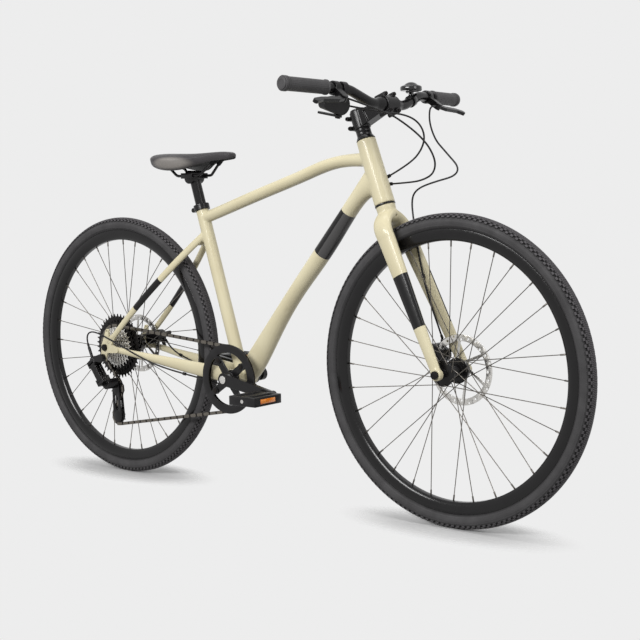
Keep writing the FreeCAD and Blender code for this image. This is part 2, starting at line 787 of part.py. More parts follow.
# Frame
def make_frame():
    """The welded tubes: each is mitred to the ones that it meets."""
    as_node("head_tube", revolved("head_tube", [
        ("head_tube_bore", "0"), ("head_tube_bottom_radius", "0"),
        ("head_tube_top_radius", "head_tube_length"), ("head_tube_bore", "head_tube_length")], HEAD_PLACE))
    head = Part.makeCone(size.head_tube_bottom_radius, size.head_tube_top_radius, size.head_tube_length,
                         HEAD, HEAD_UP)
    shell = primitive("Cylinder", "shell_outside", {"Radius": "bb_shell_radius", "Height": "bb_shell_width"})
    bore = primitive("Cylinder", "shell_bore", {"Radius": "bb_shell_bore", "Height": "bb_shell_width"})
    bracket_shell = doc.addObject("Part::Cut", "bottom_bracket_shell")
    bracket_shell.Base = shell
    bracket_shell.Tool = bore
    bracket_shell.Placement = across(BRACKET - LEFT * (size.bb_shell_width / 2))
    as_node("bottom_bracket_shell", bracket_shell)
    shell_solid = disc(BRACKET, -size.bb_shell_width / 2, size.bb_shell_width / 2, size.bb_shell_radius)
    seat = rod(BRACKET, COLLAR, size.seat_tube_radius)
    overrun = SEAT_UP * size.cut_overrun
    post_hole = rod(BRACKET, COLLAR + overrun, size.post_radius + size.running_clearance)
    feature("seat_tube", seat.cut(post_hole).cut(shell_solid))

    rear_joint = COLLAR - SEAT_UP * size.top_tube_drop
    head_joint = HEAD_TOP - HEAD_UP * size.top_tube_head_drop
    bend = head_joint - FORWARD * size.top_tube_bend_length
    rising = (bend - rear_joint).normalize()
    straight = rising * ((bend - rear_joint).Length - size.top_tube_bend_ease)
    straight_shares = (0.0, 0.3, 0.6, 0.85, 1.0)
    sections = []
    for share in straight_shares:
        height = size.top_tube_rear_height + (size.top_tube_bend_height - size.top_tube_rear_height) * share
        width = size.top_tube_rear_width + (size.top_tube_bend_width - size.top_tube_rear_width) * share
        sections.append((rear_joint + straight * share, rising, height, width))
    level = bend + FORWARD * size.top_tube_bend_ease
    sections.append((level, FORWARD, size.top_tube_bend_height, size.top_tube_bend_width))
    sections.append((head_joint, FORWARD, size.top_tube_head_height, size.top_tube_head_width))
    top = tube_loft(sections)
    top_tube = top.cut(head).cut(seat)
    feature("top_tube", largest(top_tube))

    aim = HEAD + HEAD_UP * size.down_tube_axis_rise
    along = aim - BRACKET
    flare = HEAD + HEAD_UP * size.down_tube_head_rise
    taper_shares = ((0.3, 1.0), (0.6, 0.8), (0.75, 0.3), (0.87, 0.0))
    sections = [(BRACKET, along, size.down_tube_foot_height, size.down_tube_foot_width)]
    for place_share, full_share in taper_shares:
        height = size.down_tube_neck_height + (size.down_tube_height - size.down_tube_neck_height) * full_share
        sections.append((BRACKET + along * place_share, along, height, size.down_tube_width))
    sections.append((flare, HEAD_FORE, size.down_tube_head_height, size.down_tube_head_width))
    down = tube_loft(sections)
    feature("down_tube", largest(down.cut(head).cut(shell_solid).cut(seat).cut(top)))

    make_stays(shell_solid, seat, down)


def largest(shape):
    """The main solid of a mitred tube."""
    return max(shape.Solids, key=lambda solid: solid.Volume)


def dropout(side):
    """A rear dropout: a flat plate with an arm along each stay, a rack eyelet and, on the right, the hanger."""
    y = side * (size.rear_hub_width / 2 + size.seat_gap + size.dropout_thickness / 2)
    axle = REAR + LEFT * y
    to_bracket = (BRACKET - REAR).normalize()
    to_seat = (COLLAR - SEAT_UP * size.seatstay_drop - REAR).normalize()
    arm = 3 * size.dropout_radius
    tip = size.dropout_radius / 2
    eyelet_angle = 78.0
    eyelet = axle + polar(eyelet_angle, size.eyelet_rise)
    pieces = [blade(axle, axle + to_bracket * arm, size.dropout_radius, tip, size.dropout_thickness, LEFT),
              blade(axle, axle + to_seat * arm, size.dropout_radius, tip, size.dropout_thickness, LEFT),
              blade(axle, eyelet, size.dropout_radius, size.eyelet_boss_radius, size.dropout_thickness, LEFT)]
    if side < 0:
        hanger = axle - V(size.hanger_back, 0, size.hanger_drop)
        pieces.append(blade(axle, hanger, size.dropout_radius, size.hanger_radius, size.dropout_thickness, LEFT))
    plate = joined(pieces)
    reach = size.dropout_thickness
    plate = plate.cut(disc(axle, y - reach, y + reach, size.axle_radius + size.seat_gap))
    plate = plate.cut(disc(eyelet, y - reach, y + reach, size.eyelet_radius))
    if side < 0:
        plate = plate.cut(disc(hanger, y - reach, y + reach, size.hanger_bolt_radius + size.seat_gap))
    return plate


def make_stays(shell_solid, seat, down):
    to_rear = (REAR - BRACKET).normalize()
    seat_joint = COLLAR - SEAT_UP * size.seatstay_drop
    to_axle = (REAR - seat_joint).normalize()
    seat_run = (REAR - seat_joint).Length
    spread_share = 0.22
    plates = [dropout(side) for side in (1, -1)]
    feature("rear_dropouts", plates)
    chainstays = []
    seatstays = []
    for side, plate in zip((1, -1), plates):
        end_back = size.chainstay_length - size.chainstay_end_gap
        lower = tube_loft([
            (BRACKET + LEFT * (side * size.chainstay_root_y), to_rear,
             size.chainstay_root_height, size.chainstay_root_width),
            (BRACKET + to_rear * size.chainstay_waist_back + LEFT * (side * size.chainstay_waist_y), to_rear,
             size.chainstay_waist_height, size.chainstay_waist_width),
            (BRACKET + to_rear * size.chainstay_mid_back + LEFT * (side * size.chainstay_mid_y), to_rear,
             size.chainstay_mid_height, size.chainstay_waist_width),
            (BRACKET + to_rear * end_back + LEFT * (side * size.chainstay_end_y), to_rear,
             size.chainstay_end_height, size.chainstay_end_width)])
        chainstays.append(largest(lower.cut(shell_solid).cut(seat).cut(plate).cut(down)))
        upper = tube_loft([
            (seat_joint + LEFT * (side * size.seatstay_root_y), to_axle,
             size.seatstay_height, size.seatstay_width),
            (seat_joint + to_axle * (seat_run * spread_share) + LEFT * (side * size.seatstay_spread_y), to_axle,
             size.seatstay_height, size.seatstay_width),
            (REAR - to_axle * size.seatstay_end_gap + LEFT * (side * size.seatstay_end_y), to_axle,
             size.seatstay_end_height, size.seatstay_end_width)])
        seatstays.append(largest(upper.cut(seat).cut(plate)))
    bridge_share = 0.085
    bridge_at = seat_joint + to_axle * (seat_run * bridge_share)
    reach = LEFT * size.seatstay_spread_y
    bridge = rod(bridge_at - reach, bridge_at + reach, size.bridge_radius)
    for stay in seatstays:
        bridge = bridge.cut(stay)
    middle = [piece for piece in bridge.Solids if abs(piece.CenterOfMass.y) < size.bridge_radius]
    feature("chainstays", chainstays)
    feature("seatstays", seatstays + middle)


make_frame()


def make_collar():
    """The seat clamp: a split ring with its bolt lug behind the tube."""
    back = SEAT_UP.cross(LEFT)
    low = COLLAR - SEAT_UP * size.collar_height
    outer = size.seat_tube_radius + size.collar_wall
    middle = (low + COLLAR) * 0.5
    lug = middle + back * (outer + size.collar_lug_radius / 2)
    reach = LEFT * (size.collar_lug_width / 2)
    clamp = joined([rod(low, COLLAR, outer), rod(lug - reach, lug + reach, size.collar_lug_radius)])
    overrun = SEAT_UP * size.cut_overrun
    clamp = clamp.cut(rod(low - overrun, COLLAR + overrun, size.seat_tube_radius + size.seat_gap))
    slit = blade(middle + back * size.seat_tube_radius, lug + back * (2 * size.collar_lug_radius),
                 size.collar_slot / 2, size.collar_slot / 2, 2 * size.collar_height, SEAT_UP)
    feature("seat_clamp", clamp.cut(slit))


def make_bearings():
    """Headset and bottom bracket bearing cups."""
    head_ring = "steerer_radius + running_clearance"
    cup = "head_tube_bore - seat_gap"
    lower = revolved("lower_headset_cup", [
        (head_ring, "0"), (cup, "0"), (cup, "bearing_height"), (head_ring, "bearing_height")], HEAD_PLACE)
    base = "head_tube_length - bearing_height"
    upper = revolved("upper_headset_cup", [
        (head_ring, base), (cup, base), (cup, "head_tube_length"), (head_ring, "head_tube_length")], HEAD_PLACE)
    spindle = "spindle_radius + running_clearance"
    inside = "bb_shell_width / 2 - bb_cup_depth"
    face = "bb_shell_width / 2 + seat_gap"
    rim = "bb_shell_width / 2 + seat_gap + bb_cup_flange"
    cups = []
    for name, sign in (("left", ""), ("right", "-")):
        cups.append(revolved(name + "_bracket_cup", [
            (spindle, f"{sign}({inside})"), ("bb_shell_bore - seat_gap", f"{sign}({inside})"),
            ("bb_shell_bore - seat_gap", f"{sign}({face})"), ("bb_cup_flange_radius", f"{sign}({face})"),
            ("bb_cup_flange_radius", f"{sign}({rim})"), (spindle, f"{sign}({rim})")], across(BRACKET)))
    group("frame_bearings", [lower, upper] + cups)


make_collar()
make_bearings()


# Fork and headset
def leg_section(centre, direction, length, width):
    """An oval with its long axis fore and aft."""
    along = V(direction).normalize()
    fore = HEAD_FORE - along * HEAD_FORE.dot(along)
    fore.normalize()
    return oval(centre, fore, along.cross(fore), length / 2, width / 2)


def make_fork():
    """The fork: steerer, arched crown and two tapered legs, one welded piece."""
    top = -(size.body_gap + size.crown_race_height + size.seat_gap)
    steerer_top = stem_foot() + size.stem_clamp_height - size.seat_gap
    pieces = [rod(steered(0, 0, top - size.crown_depth / 2), steered(0, 0, steerer_top), size.steerer_radius),
              Part.makeCone(size.crown_top_radius, size.crown_neck_radius, size.crown_depth / 2,
                            steered(0, 0, top), HEAD_UP * -1)]
    middle_share = 0.5
    for side in (1, -1):
        shoulder_way = LEFT * side - HEAD_UP
        leg_top = steered(size.leg_top_fore, side * size.leg_top_y, -size.leg_top_drop)
        leg_end = steered(size.fork_offset, side * size.fork_end_y, -size.fork_length)
        leg_way = leg_end - leg_top
        arch = Part.makeLoft([
            leg_section(steered(0, 0, -size.crown_rise), LEFT * side,
                        2 * size.crown_half_length, 2 * size.crown_half_height),
            leg_section(steered(0, side * size.shoulder_y, -size.shoulder_drop), shoulder_way,
                        2 * size.crown_half_length, size.leg_top_width),
            leg_section(leg_top, leg_way, size.leg_top_length, size.leg_top_width)], True, False)
        leg = Part.makeLoft([
            leg_section(leg_top, leg_way, size.leg_top_length, size.leg_top_width),
            leg_section(leg_top + leg_way * middle_share, leg_way, size.leg_mid_length, size.leg_mid_width),
            leg_section(leg_end, leg_way, size.leg_end_length, size.leg_end_width)], True, False)
        inner = side * (size.fork_end_y - size.leg_end_width / 2)
        outer = side * (size.fork_end_y + size.leg_end_width / 2)
        pieces += [arch, leg, disc(leg_end, inner, outer, size.fork_end_radius)]
    body = joined(pieces)
    reach = size.fork_end_y + size.leg_end_width
    body = body.cut(disc(FRONT, -reach, reach, size.axle_radius + size.seat_gap))
    inside = disc(FRONT, -size.front_hub_width / 2, size.front_hub_width / 2, 2 * size.fork_end_radius)
    body = body.cut(inside)
    below = steered(0, 0, -size.crown_depth / 4)
    body = body.cut(rod(below, steered(0, 0, steerer_top + size.cut_overrun), size.steerer_bore))
    hole = steered(0, 0, -size.crown_hole_drop)
    body = body.cut(rod(hole, hole + HEAD_FORE * (2 * size.crown_half_length), size.crown_hole_radius))
    feature("fork", body)
    return body


def stem_foot():
    """How far up the steering axis the stem's clamp starts."""
    spacers = size.spacer_count * (size.spacer_height + size.seat_gap)
    return size.head_tube_length + size.body_gap + size.cover_height + size.seat_gap + spacers


def make_headset():
    """Crown race, top cover, spacers and top cap, each a ring on the steerer."""
    bore = size.steerer_radius + size.seat_gap
    gap = size.body_gap
    rings = [bored(steered(0, 0, -gap - size.crown_race_height), steered(0, 0, -gap),
                   size.head_tube_bottom_radius, bore)]
    foot = size.head_tube_length + gap
    cover = Part.makeCone(size.head_tube_top_radius, size.cover_top_radius, size.cover_height,
                          steered(0, 0, foot), HEAD_UP)
    rings.append(cover.cut(rod(steered(0, 0, 0), steered(0, 0, 2 * size.head_tube_length), bore)))
    foot += size.cover_height + size.seat_gap
    for _ in range(int(size.spacer_count)):
        rings.append(bored(steered(0, 0, foot), steered(0, 0, foot + size.spacer_height),
                           size.spacer_radius, bore))
        foot += size.spacer_height + size.seat_gap
    top = stem_foot() + size.stem_clamp_height + size.seat_gap
    rings.append(rod(steered(0, 0, top), steered(0, 0, top + size.cap_height), size.spacer_radius))
    feature("headset_spacers", rings)


fork_solid = make_fork()
make_headset()


# Stem, bar and grips
STEM_MIDDLE = stem_foot() + size.stem_clamp_height / 2
BAR = steered(size.stem_reach, 0, STEM_MIDDLE + size.stem_rise)


def slab(corner, x_axis, z_axis, length, width, height):
    """A box that starts at the corner's place along X and is centred across it."""
    box = Part.makeBox(length, width, height)
    box.translate(V(0, -width / 2, -height / 2))
    box.Placement = axes(corner, x_axis, z_axis).multiply(box.Placement)
    return box


def stem_section(fore, half_height):
    """A rectangular section of the stem's body."""
    rise = STEM_MIDDLE + size.stem_rise * fore / size.stem_reach
    half = size.stem_half_width
    corners = [steered(fore, side * half, rise + level * half_height)
               for side, level in ((1, 1), (-1, 1), (-1, -1), (1, -1))]
    return Part.makePolygon(corners + corners[:1])


def make_stem():
    """The stem: steerer clamp, scooped body and the rear half of the bar clamp, with its faceplate and bolts."""
    foot = stem_foot()
    half_height = size.stem_clamp_height / 2
    nose = size.stem_nose_half_height
    lug_radius = size.bolt_head_radius + size.faceplate_split
    body = [rod(steered(0, 0, foot), steered(0, 0, foot + size.stem_clamp_height), size.stem_clamp_radius),
            Part.makeLoft([stem_section(0, half_height - size.faceplate_split),
                           stem_section(size.stem_reach, nose)], True, True),
            disc(BAR, -size.stem_bar_width / 2, size.stem_bar_width / 2, size.stem_bar_radius)]
    pinch_back = -(size.stem_clamp_radius + lug_radius / 2)
    pinch_shares = (0.22, 0.78)
    pinches = [steered(pinch_back, 0, foot + share * size.stem_clamp_height) for share in pinch_shares]
    reach = LEFT * size.stem_half_width
    body += [rod(spot - reach, spot + reach, lug_radius) for spot in pinches]
    lug_y = size.stem_bar_width / 2 - lug_radius - size.faceplate_split
    lug_spots = [BAR + LEFT * (side * lug_y) + HEAD_UP * (level * size.stem_bar_radius)
                 for side in (1, -1) for level in (1, -1)]
    split = HEAD_FORE * (size.faceplate_split / 2)
    back_reach = HEAD_FORE * size.bar_clamp_radius
    lug_share = 0.9
    front_reach = HEAD_FORE * (size.bar_clamp_radius * lug_share)
    body += [rod(spot - back_reach, spot, lug_radius) for spot in lug_spots]
    stem = joined(body)
    wide = 2 * size.stem_bar_width
    front_side = slab(BAR - split, HEAD_FORE, HEAD_UP, wide, wide, wide)
    bar_hole = disc(BAR, -wide, wide, size.bar_clamp_radius + size.running_clearance)
    steerer_hole = rod(steered(0, 0, 0), steered(0, 0, 2 * foot), size.steerer_radius + size.running_clearance)
    stem = stem.cut(front_side).cut(bar_hole).cut(steerer_hole)
    scoop_shares = [(0.30, 0.62), (0.76, 0.40), (0.36, -0.66)]
    for side in (1, -1):
        corners = [steered(fore * size.stem_reach, side * (size.stem_half_width - size.stem_scoop),
                           STEM_MIDDLE + level * half_height) for fore, level in scoop_shares]
        outline = Part.Face(Part.makePolygon(corners + corners[:1]))
        stem = stem.cut(outline.extrude(LEFT * (side * size.cut_overrun)))
    feature("stem", stem)
    plate = joined([disc(BAR, -size.stem_bar_width / 2, size.stem_bar_width / 2, size.stem_bar_radius)]
                   + [rod(spot, spot + front_reach, lug_radius) for spot in lug_spots])
    plate = plate.common(slab(BAR + split, HEAD_FORE, HEAD_UP, wide, wide, wide))
    feature("stem_faceplate", plate.cut(bar_hole))
    bolts = []
    for spot in pinches:
        head = spot - LEFT * (size.stem_half_width + size.seat_gap)
        bolts.append(rod(head, head - LEFT * size.bolt_head_length, size.bolt_head_radius))
    for spot in lug_spots:
        head = spot + front_reach + HEAD_FORE * size.seat_gap
        bolts.append(rod(head, head + HEAD_FORE * size.bolt_head_length, size.bolt_head_radius))
    feature("stem_bolts", bolts)


def bar_points(side):
    """The bar's centre line from its clamp to one end."""
    return [BAR + LEFT * (side * size.bar_centre_half),
            BAR + V(-size.bar_rise_back, side * size.bar_rise_y, size.bar_rise_up),
            BAR + V(-size.bar_end_back, side * size.bar_end_y, size.bar_end_up)]


def make_bar():
    left, right = bar_points(1), bar_points(-1)
    bar = [bent_rod(left[::-1] + right, size.bar_radius, size.bar_bend_radius)]
    half = size.bar_clamp_half
    bar.append(disc(BAR, -half, half, size.bar_clamp_radius))
    for side in (1, -1):
        bar.append(Part.makeCone(size.bar_clamp_radius, size.bar_radius, size.bar_taper,
                                 BAR + LEFT * (side * half), LEFT * side))
    feature("handlebar", joined(bar))
    grips = []
    for name, points in (("left_grip", left), ("right_grip", right)):
        outward = (points[2] - points[1]).normalize()
        start = points[2] - outward * (size.grip_length - size.grip_end_wall)
        bore = "bar_radius + seat_gap"
        inner_end = "grip_length - grip_end_wall + seat_gap"
        collar = "grip_length - grip_end_wall - grip_collar_length"
        grips.append(revolved(name, [
            (bore, "0"), ("grip_collar_radius", "0"), ("grip_radius", "grip_end_wall"), ("grip_radius", collar),
            ("grip_collar_radius", collar), ("grip_collar_radius", "grip_length - grip_end_wall"),
            ("grip_radius", "grip_length"), ("0", "grip_length"), ("0", inner_end), (bore, inner_end)],
            axes(start, UP, outward)))
    group("grips", grips)


make_stem()
make_bar()


# Brake levers, shifter and bell
RIGHT_BAR = bar_points(-1)
BAR_OUT = (RIGHT_BAR[2] - RIGHT_BAR[1]).normalize()
LEVER_AT = RIGHT_BAR[2] - BAR_OUT * size.lever_inset
lever_fore = polar(-size.lever_angle, 1)
LEVER_FORE = (lever_fore - BAR_OUT * lever_fore.dot(BAR_OUT)).normalize()
LEVER_AXIS = BAR_OUT.cross(LEVER_FORE)


def lever_point(out, reach):
    """A place on the right lever's plane: out along the bar and forward from it."""
    return LEVER_AT + BAR_OUT * out + LEVER_FORE * reach


LEVER_PIVOT = lever_point(0, size.lever_pivot_reach)


def make_levers():
    half = BAR_OUT * (size.bracket_length / 2)
    through = BAR_OUT * (2 * size.bracket_length)
    clamp_radius = size.bar_radius + size.bracket_wall
    bracket = joined([rod(LEVER_AT - half, LEVER_AT + half, clamp_radius),
                      blade(lever_point(0, size.bracket_root_radius), LEVER_PIVOT, size.bracket_root_radius,
                            size.bracket_tip_radius, size.bracket_thickness, LEVER_AXIS)])
    bracket = bracket.cut(rod(LEVER_AT - through, LEVER_AT + through, size.bar_radius + size.seat_gap))
    room = size.body_gap
    slot = blade(LEVER_PIVOT, LEVER_PIVOT + through, size.lever_root_radius + room, size.lever_root_radius + room,
                 size.lever_thickness + 2 * room, LEVER_AXIS)
    elbow = lever_point(size.lever_elbow_out, size.lever_elbow_reach)
    elbow_slot = blade(LEVER_PIVOT, elbow, size.lever_root_radius + room, size.lever_root_radius + room,
                       size.lever_thickness + 2 * room, LEVER_AXIS)
    pin_half = LEVER_AXIS * (size.bracket_thickness / 2)
    bracket = bracket.cut(slot).cut(elbow_slot)
    bracket = joined([bracket, rod(LEVER_PIVOT - pin_half, LEVER_PIVOT + pin_half, size.lever_pin_radius)])
    feature("brake_brackets", [bracket, mirrored(bracket)])
    places = [LEVER_PIVOT, elbow, lever_point(size.lever_finger_out, size.lever_finger_reach),
              lever_point(size.lever_tip_out, size.lever_tip_reach)]
    radii = [size.lever_root_radius, size.lever_elbow_radius, size.lever_finger_radius, size.lever_tip_radius]
    lever = joined([blade(places[step], places[step + 1], radii[step], radii[step + 1],
                          size.lever_thickness, LEVER_AXIS) for step in range(len(places) - 1)])
    bore = size.lever_pin_radius + size.running_clearance
    lever = lever.cut(rod(LEVER_PIVOT - pin_half, LEVER_PIVOT + pin_half, bore))
    feature("brake_lever_right", lever)
    feature("brake_lever_left", mirrored(lever))


SHIFTER_AT = LEVER_AT - BAR_OUT * size.shifter_inset
shifter_lean = -104.0
shifter_down = polar(shifter_lean, 1)
SHIFTER_DOWN = (shifter_down - BAR_OUT * shifter_down.dot(BAR_OUT)).normalize()
SHIFTER_BACK = SHIFTER_DOWN.cross(BAR_OUT)
POD = SHIFTER_AT + SHIFTER_DOWN * size.shifter_drop
SHIFT_PIVOT = POD + SHIFTER_DOWN * (size.shifter_radius + size.body_gap + size.shift_lever_thickness / 2)


def make_shifter():
    """The shifter pod under the bar, with a thumb lever on a pin below it."""
    half = BAR_OUT * (size.bracket_length / 2)
    through = BAR_OUT * (2 * size.bracket_length)
    pod_out = POD + BAR_OUT * (2 * size.shifter_radius)
    pin_end = SHIFT_PIVOT + SHIFTER_DOWN * (size.shift_lever_thickness / 2 + size.body_gap)
    cap_end = pin_end + SHIFTER_DOWN * size.shift_pin_radius
    pod = joined([rod(SHIFTER_AT - half, SHIFTER_AT + half, size.bar_radius + size.bracket_wall),
                  blade(SHIFTER_AT, POD, size.shifter_neck_radius, size.shifter_neck_radius,
                        size.bracket_length, BAR_OUT),
                  blade(POD, pod_out, size.shifter_radius, size.shifter_nose_radius,
                        size.shifter_thickness, SHIFTER_BACK),
                  rod(POD, cap_end, size.shift_pin_radius),
                  rod(pin_end, cap_end, 2 * size.shift_pin_radius)])
    pod = pod.cut(rod(SHIFTER_AT - through, SHIFTER_AT + through, size.bar_radius + size.seat_gap))
    feature("shifter_pod", pod)
    out_share = 0.55
    way = (SHIFTER_BACK + BAR_OUT * out_share).normalize()
    lever = blade(SHIFT_PIVOT, SHIFT_PIVOT + way * size.shift_lever_length, size.shift_lever_root,
                  size.shift_lever_tip, size.shift_lever_thickness, SHIFTER_DOWN)
    reach = SHIFTER_DOWN * size.shift_lever_thickness
    bore = size.shift_pin_radius + size.running_clearance
    feature("shift_lever", lever.cut(rod(SHIFT_PIVOT - reach, SHIFT_PIVOT + reach, bore)))


left_bar = bar_points(1)
BELL_AT = (left_bar[0] + left_bar[1]) * 0.5
BELL_BASE = BELL_AT + UP * (size.bar_radius + size.bell_stand)
STRIKER_PIVOT = BELL_BASE + V(0, -(size.bell_base_radius - size.striker_root), -size.striker_thickness)


def bell_cap(radius, height):
    """A solid dome with a straight rim below it."""
    ball = (radius ** 2 + height ** 2) / (2 * height)
    foot_turn = math.degrees(math.asin((ball - height) / ball))
    cap = Part.makeSphere(ball, V(0, 0, height - ball), UP, foot_turn, 90)
    return joined([cap, Part.makeCylinder(radius, size.bell_rim, V(0, 0, -size.bell_rim))])


def make_bell():
    """A small domed bell on a band round the bar, with its sprung striker."""
    run = (left_bar[1] - left_bar[0]).normalize()
    half = run * (size.bell_band_length / 2)
    through = run * (2 * size.bell_band_length)
    base_top = BELL_BASE + UP * size.bell_base_height
    pin_top = STRIKER_PIVOT + UP * (size.striker_thickness + size.bell_base_height / 2)
    stand = joined([rod(BELL_AT - half, BELL_AT + half, size.bar_radius + size.bell_band_wall),
                    rod(BELL_AT, base_top, size.bell_post_radius),
                    rod(BELL_BASE, base_top, size.bell_base_radius),
                    rod(STRIKER_PIVOT - UP * size.striker_thickness, pin_top, size.striker_pin_radius)])
    stand = stand.cut(rod(BELL_AT - through, BELL_AT + through, size.bar_radius + size.seat_gap))
    foot = base_top + UP * size.seat_gap
    shell, hollow = [bell_cap(size.bell_radius - wall, size.bell_height - wall) for wall in (0, size.bell_wall)]
    post = Part.makeCylinder(size.bell_post_radius, size.bell_height - size.bell_wall / 2)
    dome = joined([shell.cut(hollow), post])
    dome.translate(foot)
    feature("bell", [stand, dome])
    tip = STRIKER_PIVOT + V(size.striker_reach, 0, 0)
    striker = blade(STRIKER_PIVOT, tip, size.striker_root, size.striker_tip, size.striker_thickness, UP)
    reach = UP * size.striker_thickness
    bore = size.striker_pin_radius + size.running_clearance
    feature("bell_striker", striker.cut(rod(STRIKER_PIVOT - reach, STRIKER_PIVOT + reach, bore)))


make_levers()
make_shifter()
make_bell()


# Seat
CLAMP = COLLAR + SEAT_UP * (size.post_exposed + size.post_head_radius / 2)
RAIL_HEIGHT = CLAMP.z + size.rail_radius
SADDLE_BASE = size.saddle_top - size.saddle_height


def rail_route(side):
    """One saddle rail from its socket under the nose to the one under the tail."""
    level = V(CLAMP.x, side * size.rail_half_gap, RAIL_HEIGHT)
    front = V(CLAMP.x + size.rail_front_reach, side * size.rail_front_half, SADDLE_BASE + size.rail_lift)
    back = V(CLAMP.x - size.rail_back_reach, side * size.rail_back_half, SADDLE_BASE + size.rail_lift)
    straight = FORWARD * size.post_head_width
    return [front, level + straight, level - straight, back]


def saddle_section(x, half_width, top, thickness):
    """A section across the saddle: a crowned top, drawn-in sides and a flat base."""
    crown_share, waist_share, base_share, waist_drop_share = 0.30, 0.99, 0.72, 0.55
    edge = top - thickness * crown_share
    base = top - thickness
    waist = edge - (edge - base) * waist_drop_share
    left, right = V(x, half_width, edge), V(x, -half_width, edge)
    low_left, low_right = V(x, half_width * base_share, base), V(x, -half_width * base_share, base)
    left_waist = V(x, half_width * (waist_share + base_share) / 2, waist)
    right_waist = V(x, -half_width * (waist_share + base_share) / 2, waist)
    return Part.Wire([Part.Arc(right, V(x, 0, top), left).toShape(),
                      Part.Arc(left, left_waist, low_left).toShape(),
                      Part.LineSegment(low_left, low_right).toShape(),
                      Part.Arc(low_right, right_waist, right).toShape()])


# Saddle sections from tail to nose: place, half width, drop of the top and thickness
SADDLE_SHARES = [(0.0, 0.66, 0.16, 0.55), (0.10, 0.95, 0.02, 0.86), (0.26, 1.0, 0.0, 1.0), (0.42, 0.80, 0.05, 0.95),
                 (0.58, 0.47, 0.10, 0.86), (0.76, 0.30, 0.12, 0.76), (0.93, 0.25, 0.16, 0.62),
                 (1.0, 0.17, 0.26, 0.38)]


def make_seat():
    """Seatpost with its rail clamp, two rails and the padded saddle."""
    tail = COLLAR.x - size.saddle_back
    saddle = Part.makeLoft([
        saddle_section(tail + place * size.saddle_length, width * size.saddle_half_width,
                       size.saddle_top - drop * size.saddle_height, thick * size.saddle_height)
        for place, width, drop, thick in SADDLE_SHARES], True, False)
    feature("saddle", saddle)
    rails = [bent_rod(rail_route(side), size.rail_radius, size.rail_bend_radius) for side in (1, -1)]
    feature("saddle_rails", [largest(rail.cut(saddle)) for rail in rails])
    foot = CLAMP - SEAT_UP * size.post_length
    width = size.post_head_width
    post = joined([rod(foot, CLAMP, size.post_radius),
                   disc(CLAMP, -width / 2, width / 2, size.post_head_radius),
                   slab(V(CLAMP.x - width / 2, 0, RAIL_HEIGHT), FORWARD, UP, width,
                        2 * (size.rail_half_gap + 2 * size.rail_radius), 4 * size.rail_radius)])
    post = post.cut(rod(foot - SEAT_UP * size.cut_overrun, CLAMP - SEAT_UP * size.post_head_radius,
                        size.post_radius - size.post_wall))
    for side in (1, -1):
        spot = V(CLAMP.x, side * size.rail_half_gap, RAIL_HEIGHT)
        post = post.cut(rod(spot - FORWARD * width, spot + FORWARD * width, size.rail_radius + size.seat_gap))
    feature("seatpost", post)


make_seat()


# Cranks and pedals
def pitch_radius(teeth):
    return size.chain_pitch / 2 / math.sin(math.pi / teeth)


def sprocket(centre, y, teeth, thickness, bore, phase):
    """A toothed disc: round roller seats on the pitch circle with a tooth between each two."""
    pitch = pitch_radius(teeth)
    tip = pitch + size.tooth_height
    step = 2 * math.pi / teeth
    seat_turn = math.radians(65)
    tip_turn = size.tooth_tip_half / tip
    edges = []
    first = last = None
    for gap in range(teeth):
        turn = math.radians(phase) + gap * step
        inward = V(-math.cos(turn), -math.sin(turn), 0)
        round_way = V(-math.sin(turn), math.cos(turn), 0)
        middle = inward * -pitch
        side = round_way * (size.roller_seat_radius * math.sin(seat_turn))
        deep = inward * (size.roller_seat_radius * math.cos(seat_turn))
        start, end = middle - side + deep, middle + side + deep
        if last:
            edges.append(Part.LineSegment(last, start).toShape())
        first = first or start
        edges.append(Part.Arc(start, middle + inward * size.roller_seat_radius, end).toShape())
        peaks = [V(tip * math.cos(angle), tip * math.sin(angle), 0)
                 for angle in (turn + step / 2 - tip_turn, turn + step / 2 + tip_turn)]
        edges.append(Part.LineSegment(end, peaks[0]).toShape())
        edges.append(Part.LineSegment(peaks[0], peaks[1]).toShape())
        last = peaks[1]
    edges.append(Part.LineSegment(last, first).toShape())
    plate = Part.Face(Part.Wire(edges)).extrude(V(0, 0, thickness)).cut(Part.makeCylinder(bore, thickness))
    plate.Placement = axes(V(centre.x, y + thickness / 2, centre.z), FORWARD, LEFT * -1)
    return plate


def seat_phase(centre, pin):
    """Where a roller seat lies round a sprocket for a chain pin that sits in it."""
    return math.degrees(math.atan2(pin.z - centre.z, pin.x - centre.x))


RING_Y = -size.chain_line
SPIDER_Y = RING_Y - size.ring_thickness / 2 - size.seat_gap - size.spider_thickness / 2
GUARD_Y = SPIDER_Y - size.spider_thickness / 2 - size.seat_gap - size.guard_thickness / 2
EYE = BRACKET + polar(size.crank_angle, size.crank_length)
LEFT_EYE = BRACKET - polar(size.crank_angle, size.crank_length)


def crank_arm():
    """The right crank arm, from its hub out to the pedal eye."""
    hub_middle = -(size.crank_hub_inner + size.crank_hub_outer) / 2
    eye_middle = -(size.crank_eye_inner + size.crank_eye_outer) / 2
    start, end = BRACKET + LEFT * hub_middle, EYE + LEFT * eye_middle
    along = (end - start).normalize()
    normal = LEFT - along * LEFT.dot(along)
    inset = size.crank_blade_inset
    return [blade(start, end, size.crank_hub_radius - inset, size.crank_eye_radius - inset,
                  size.crank_thickness, normal),
            disc(BRACKET, -size.crank_hub_inner, -size.crank_hub_outer, size.crank_hub_radius),
            disc(EYE, -size.crank_eye_inner, -size.crank_eye_outer, size.crank_eye_radius)]


def crank_bores(shape, eye):
    far = 2 * size.crank_eye_outer
    shape = shape.cut(disc(BRACKET, -far, far, size.spindle_radius + size.running_clearance))
    return shape.cut(disc(eye, -far, far, size.pedal_axle_radius + size.running_clearance))


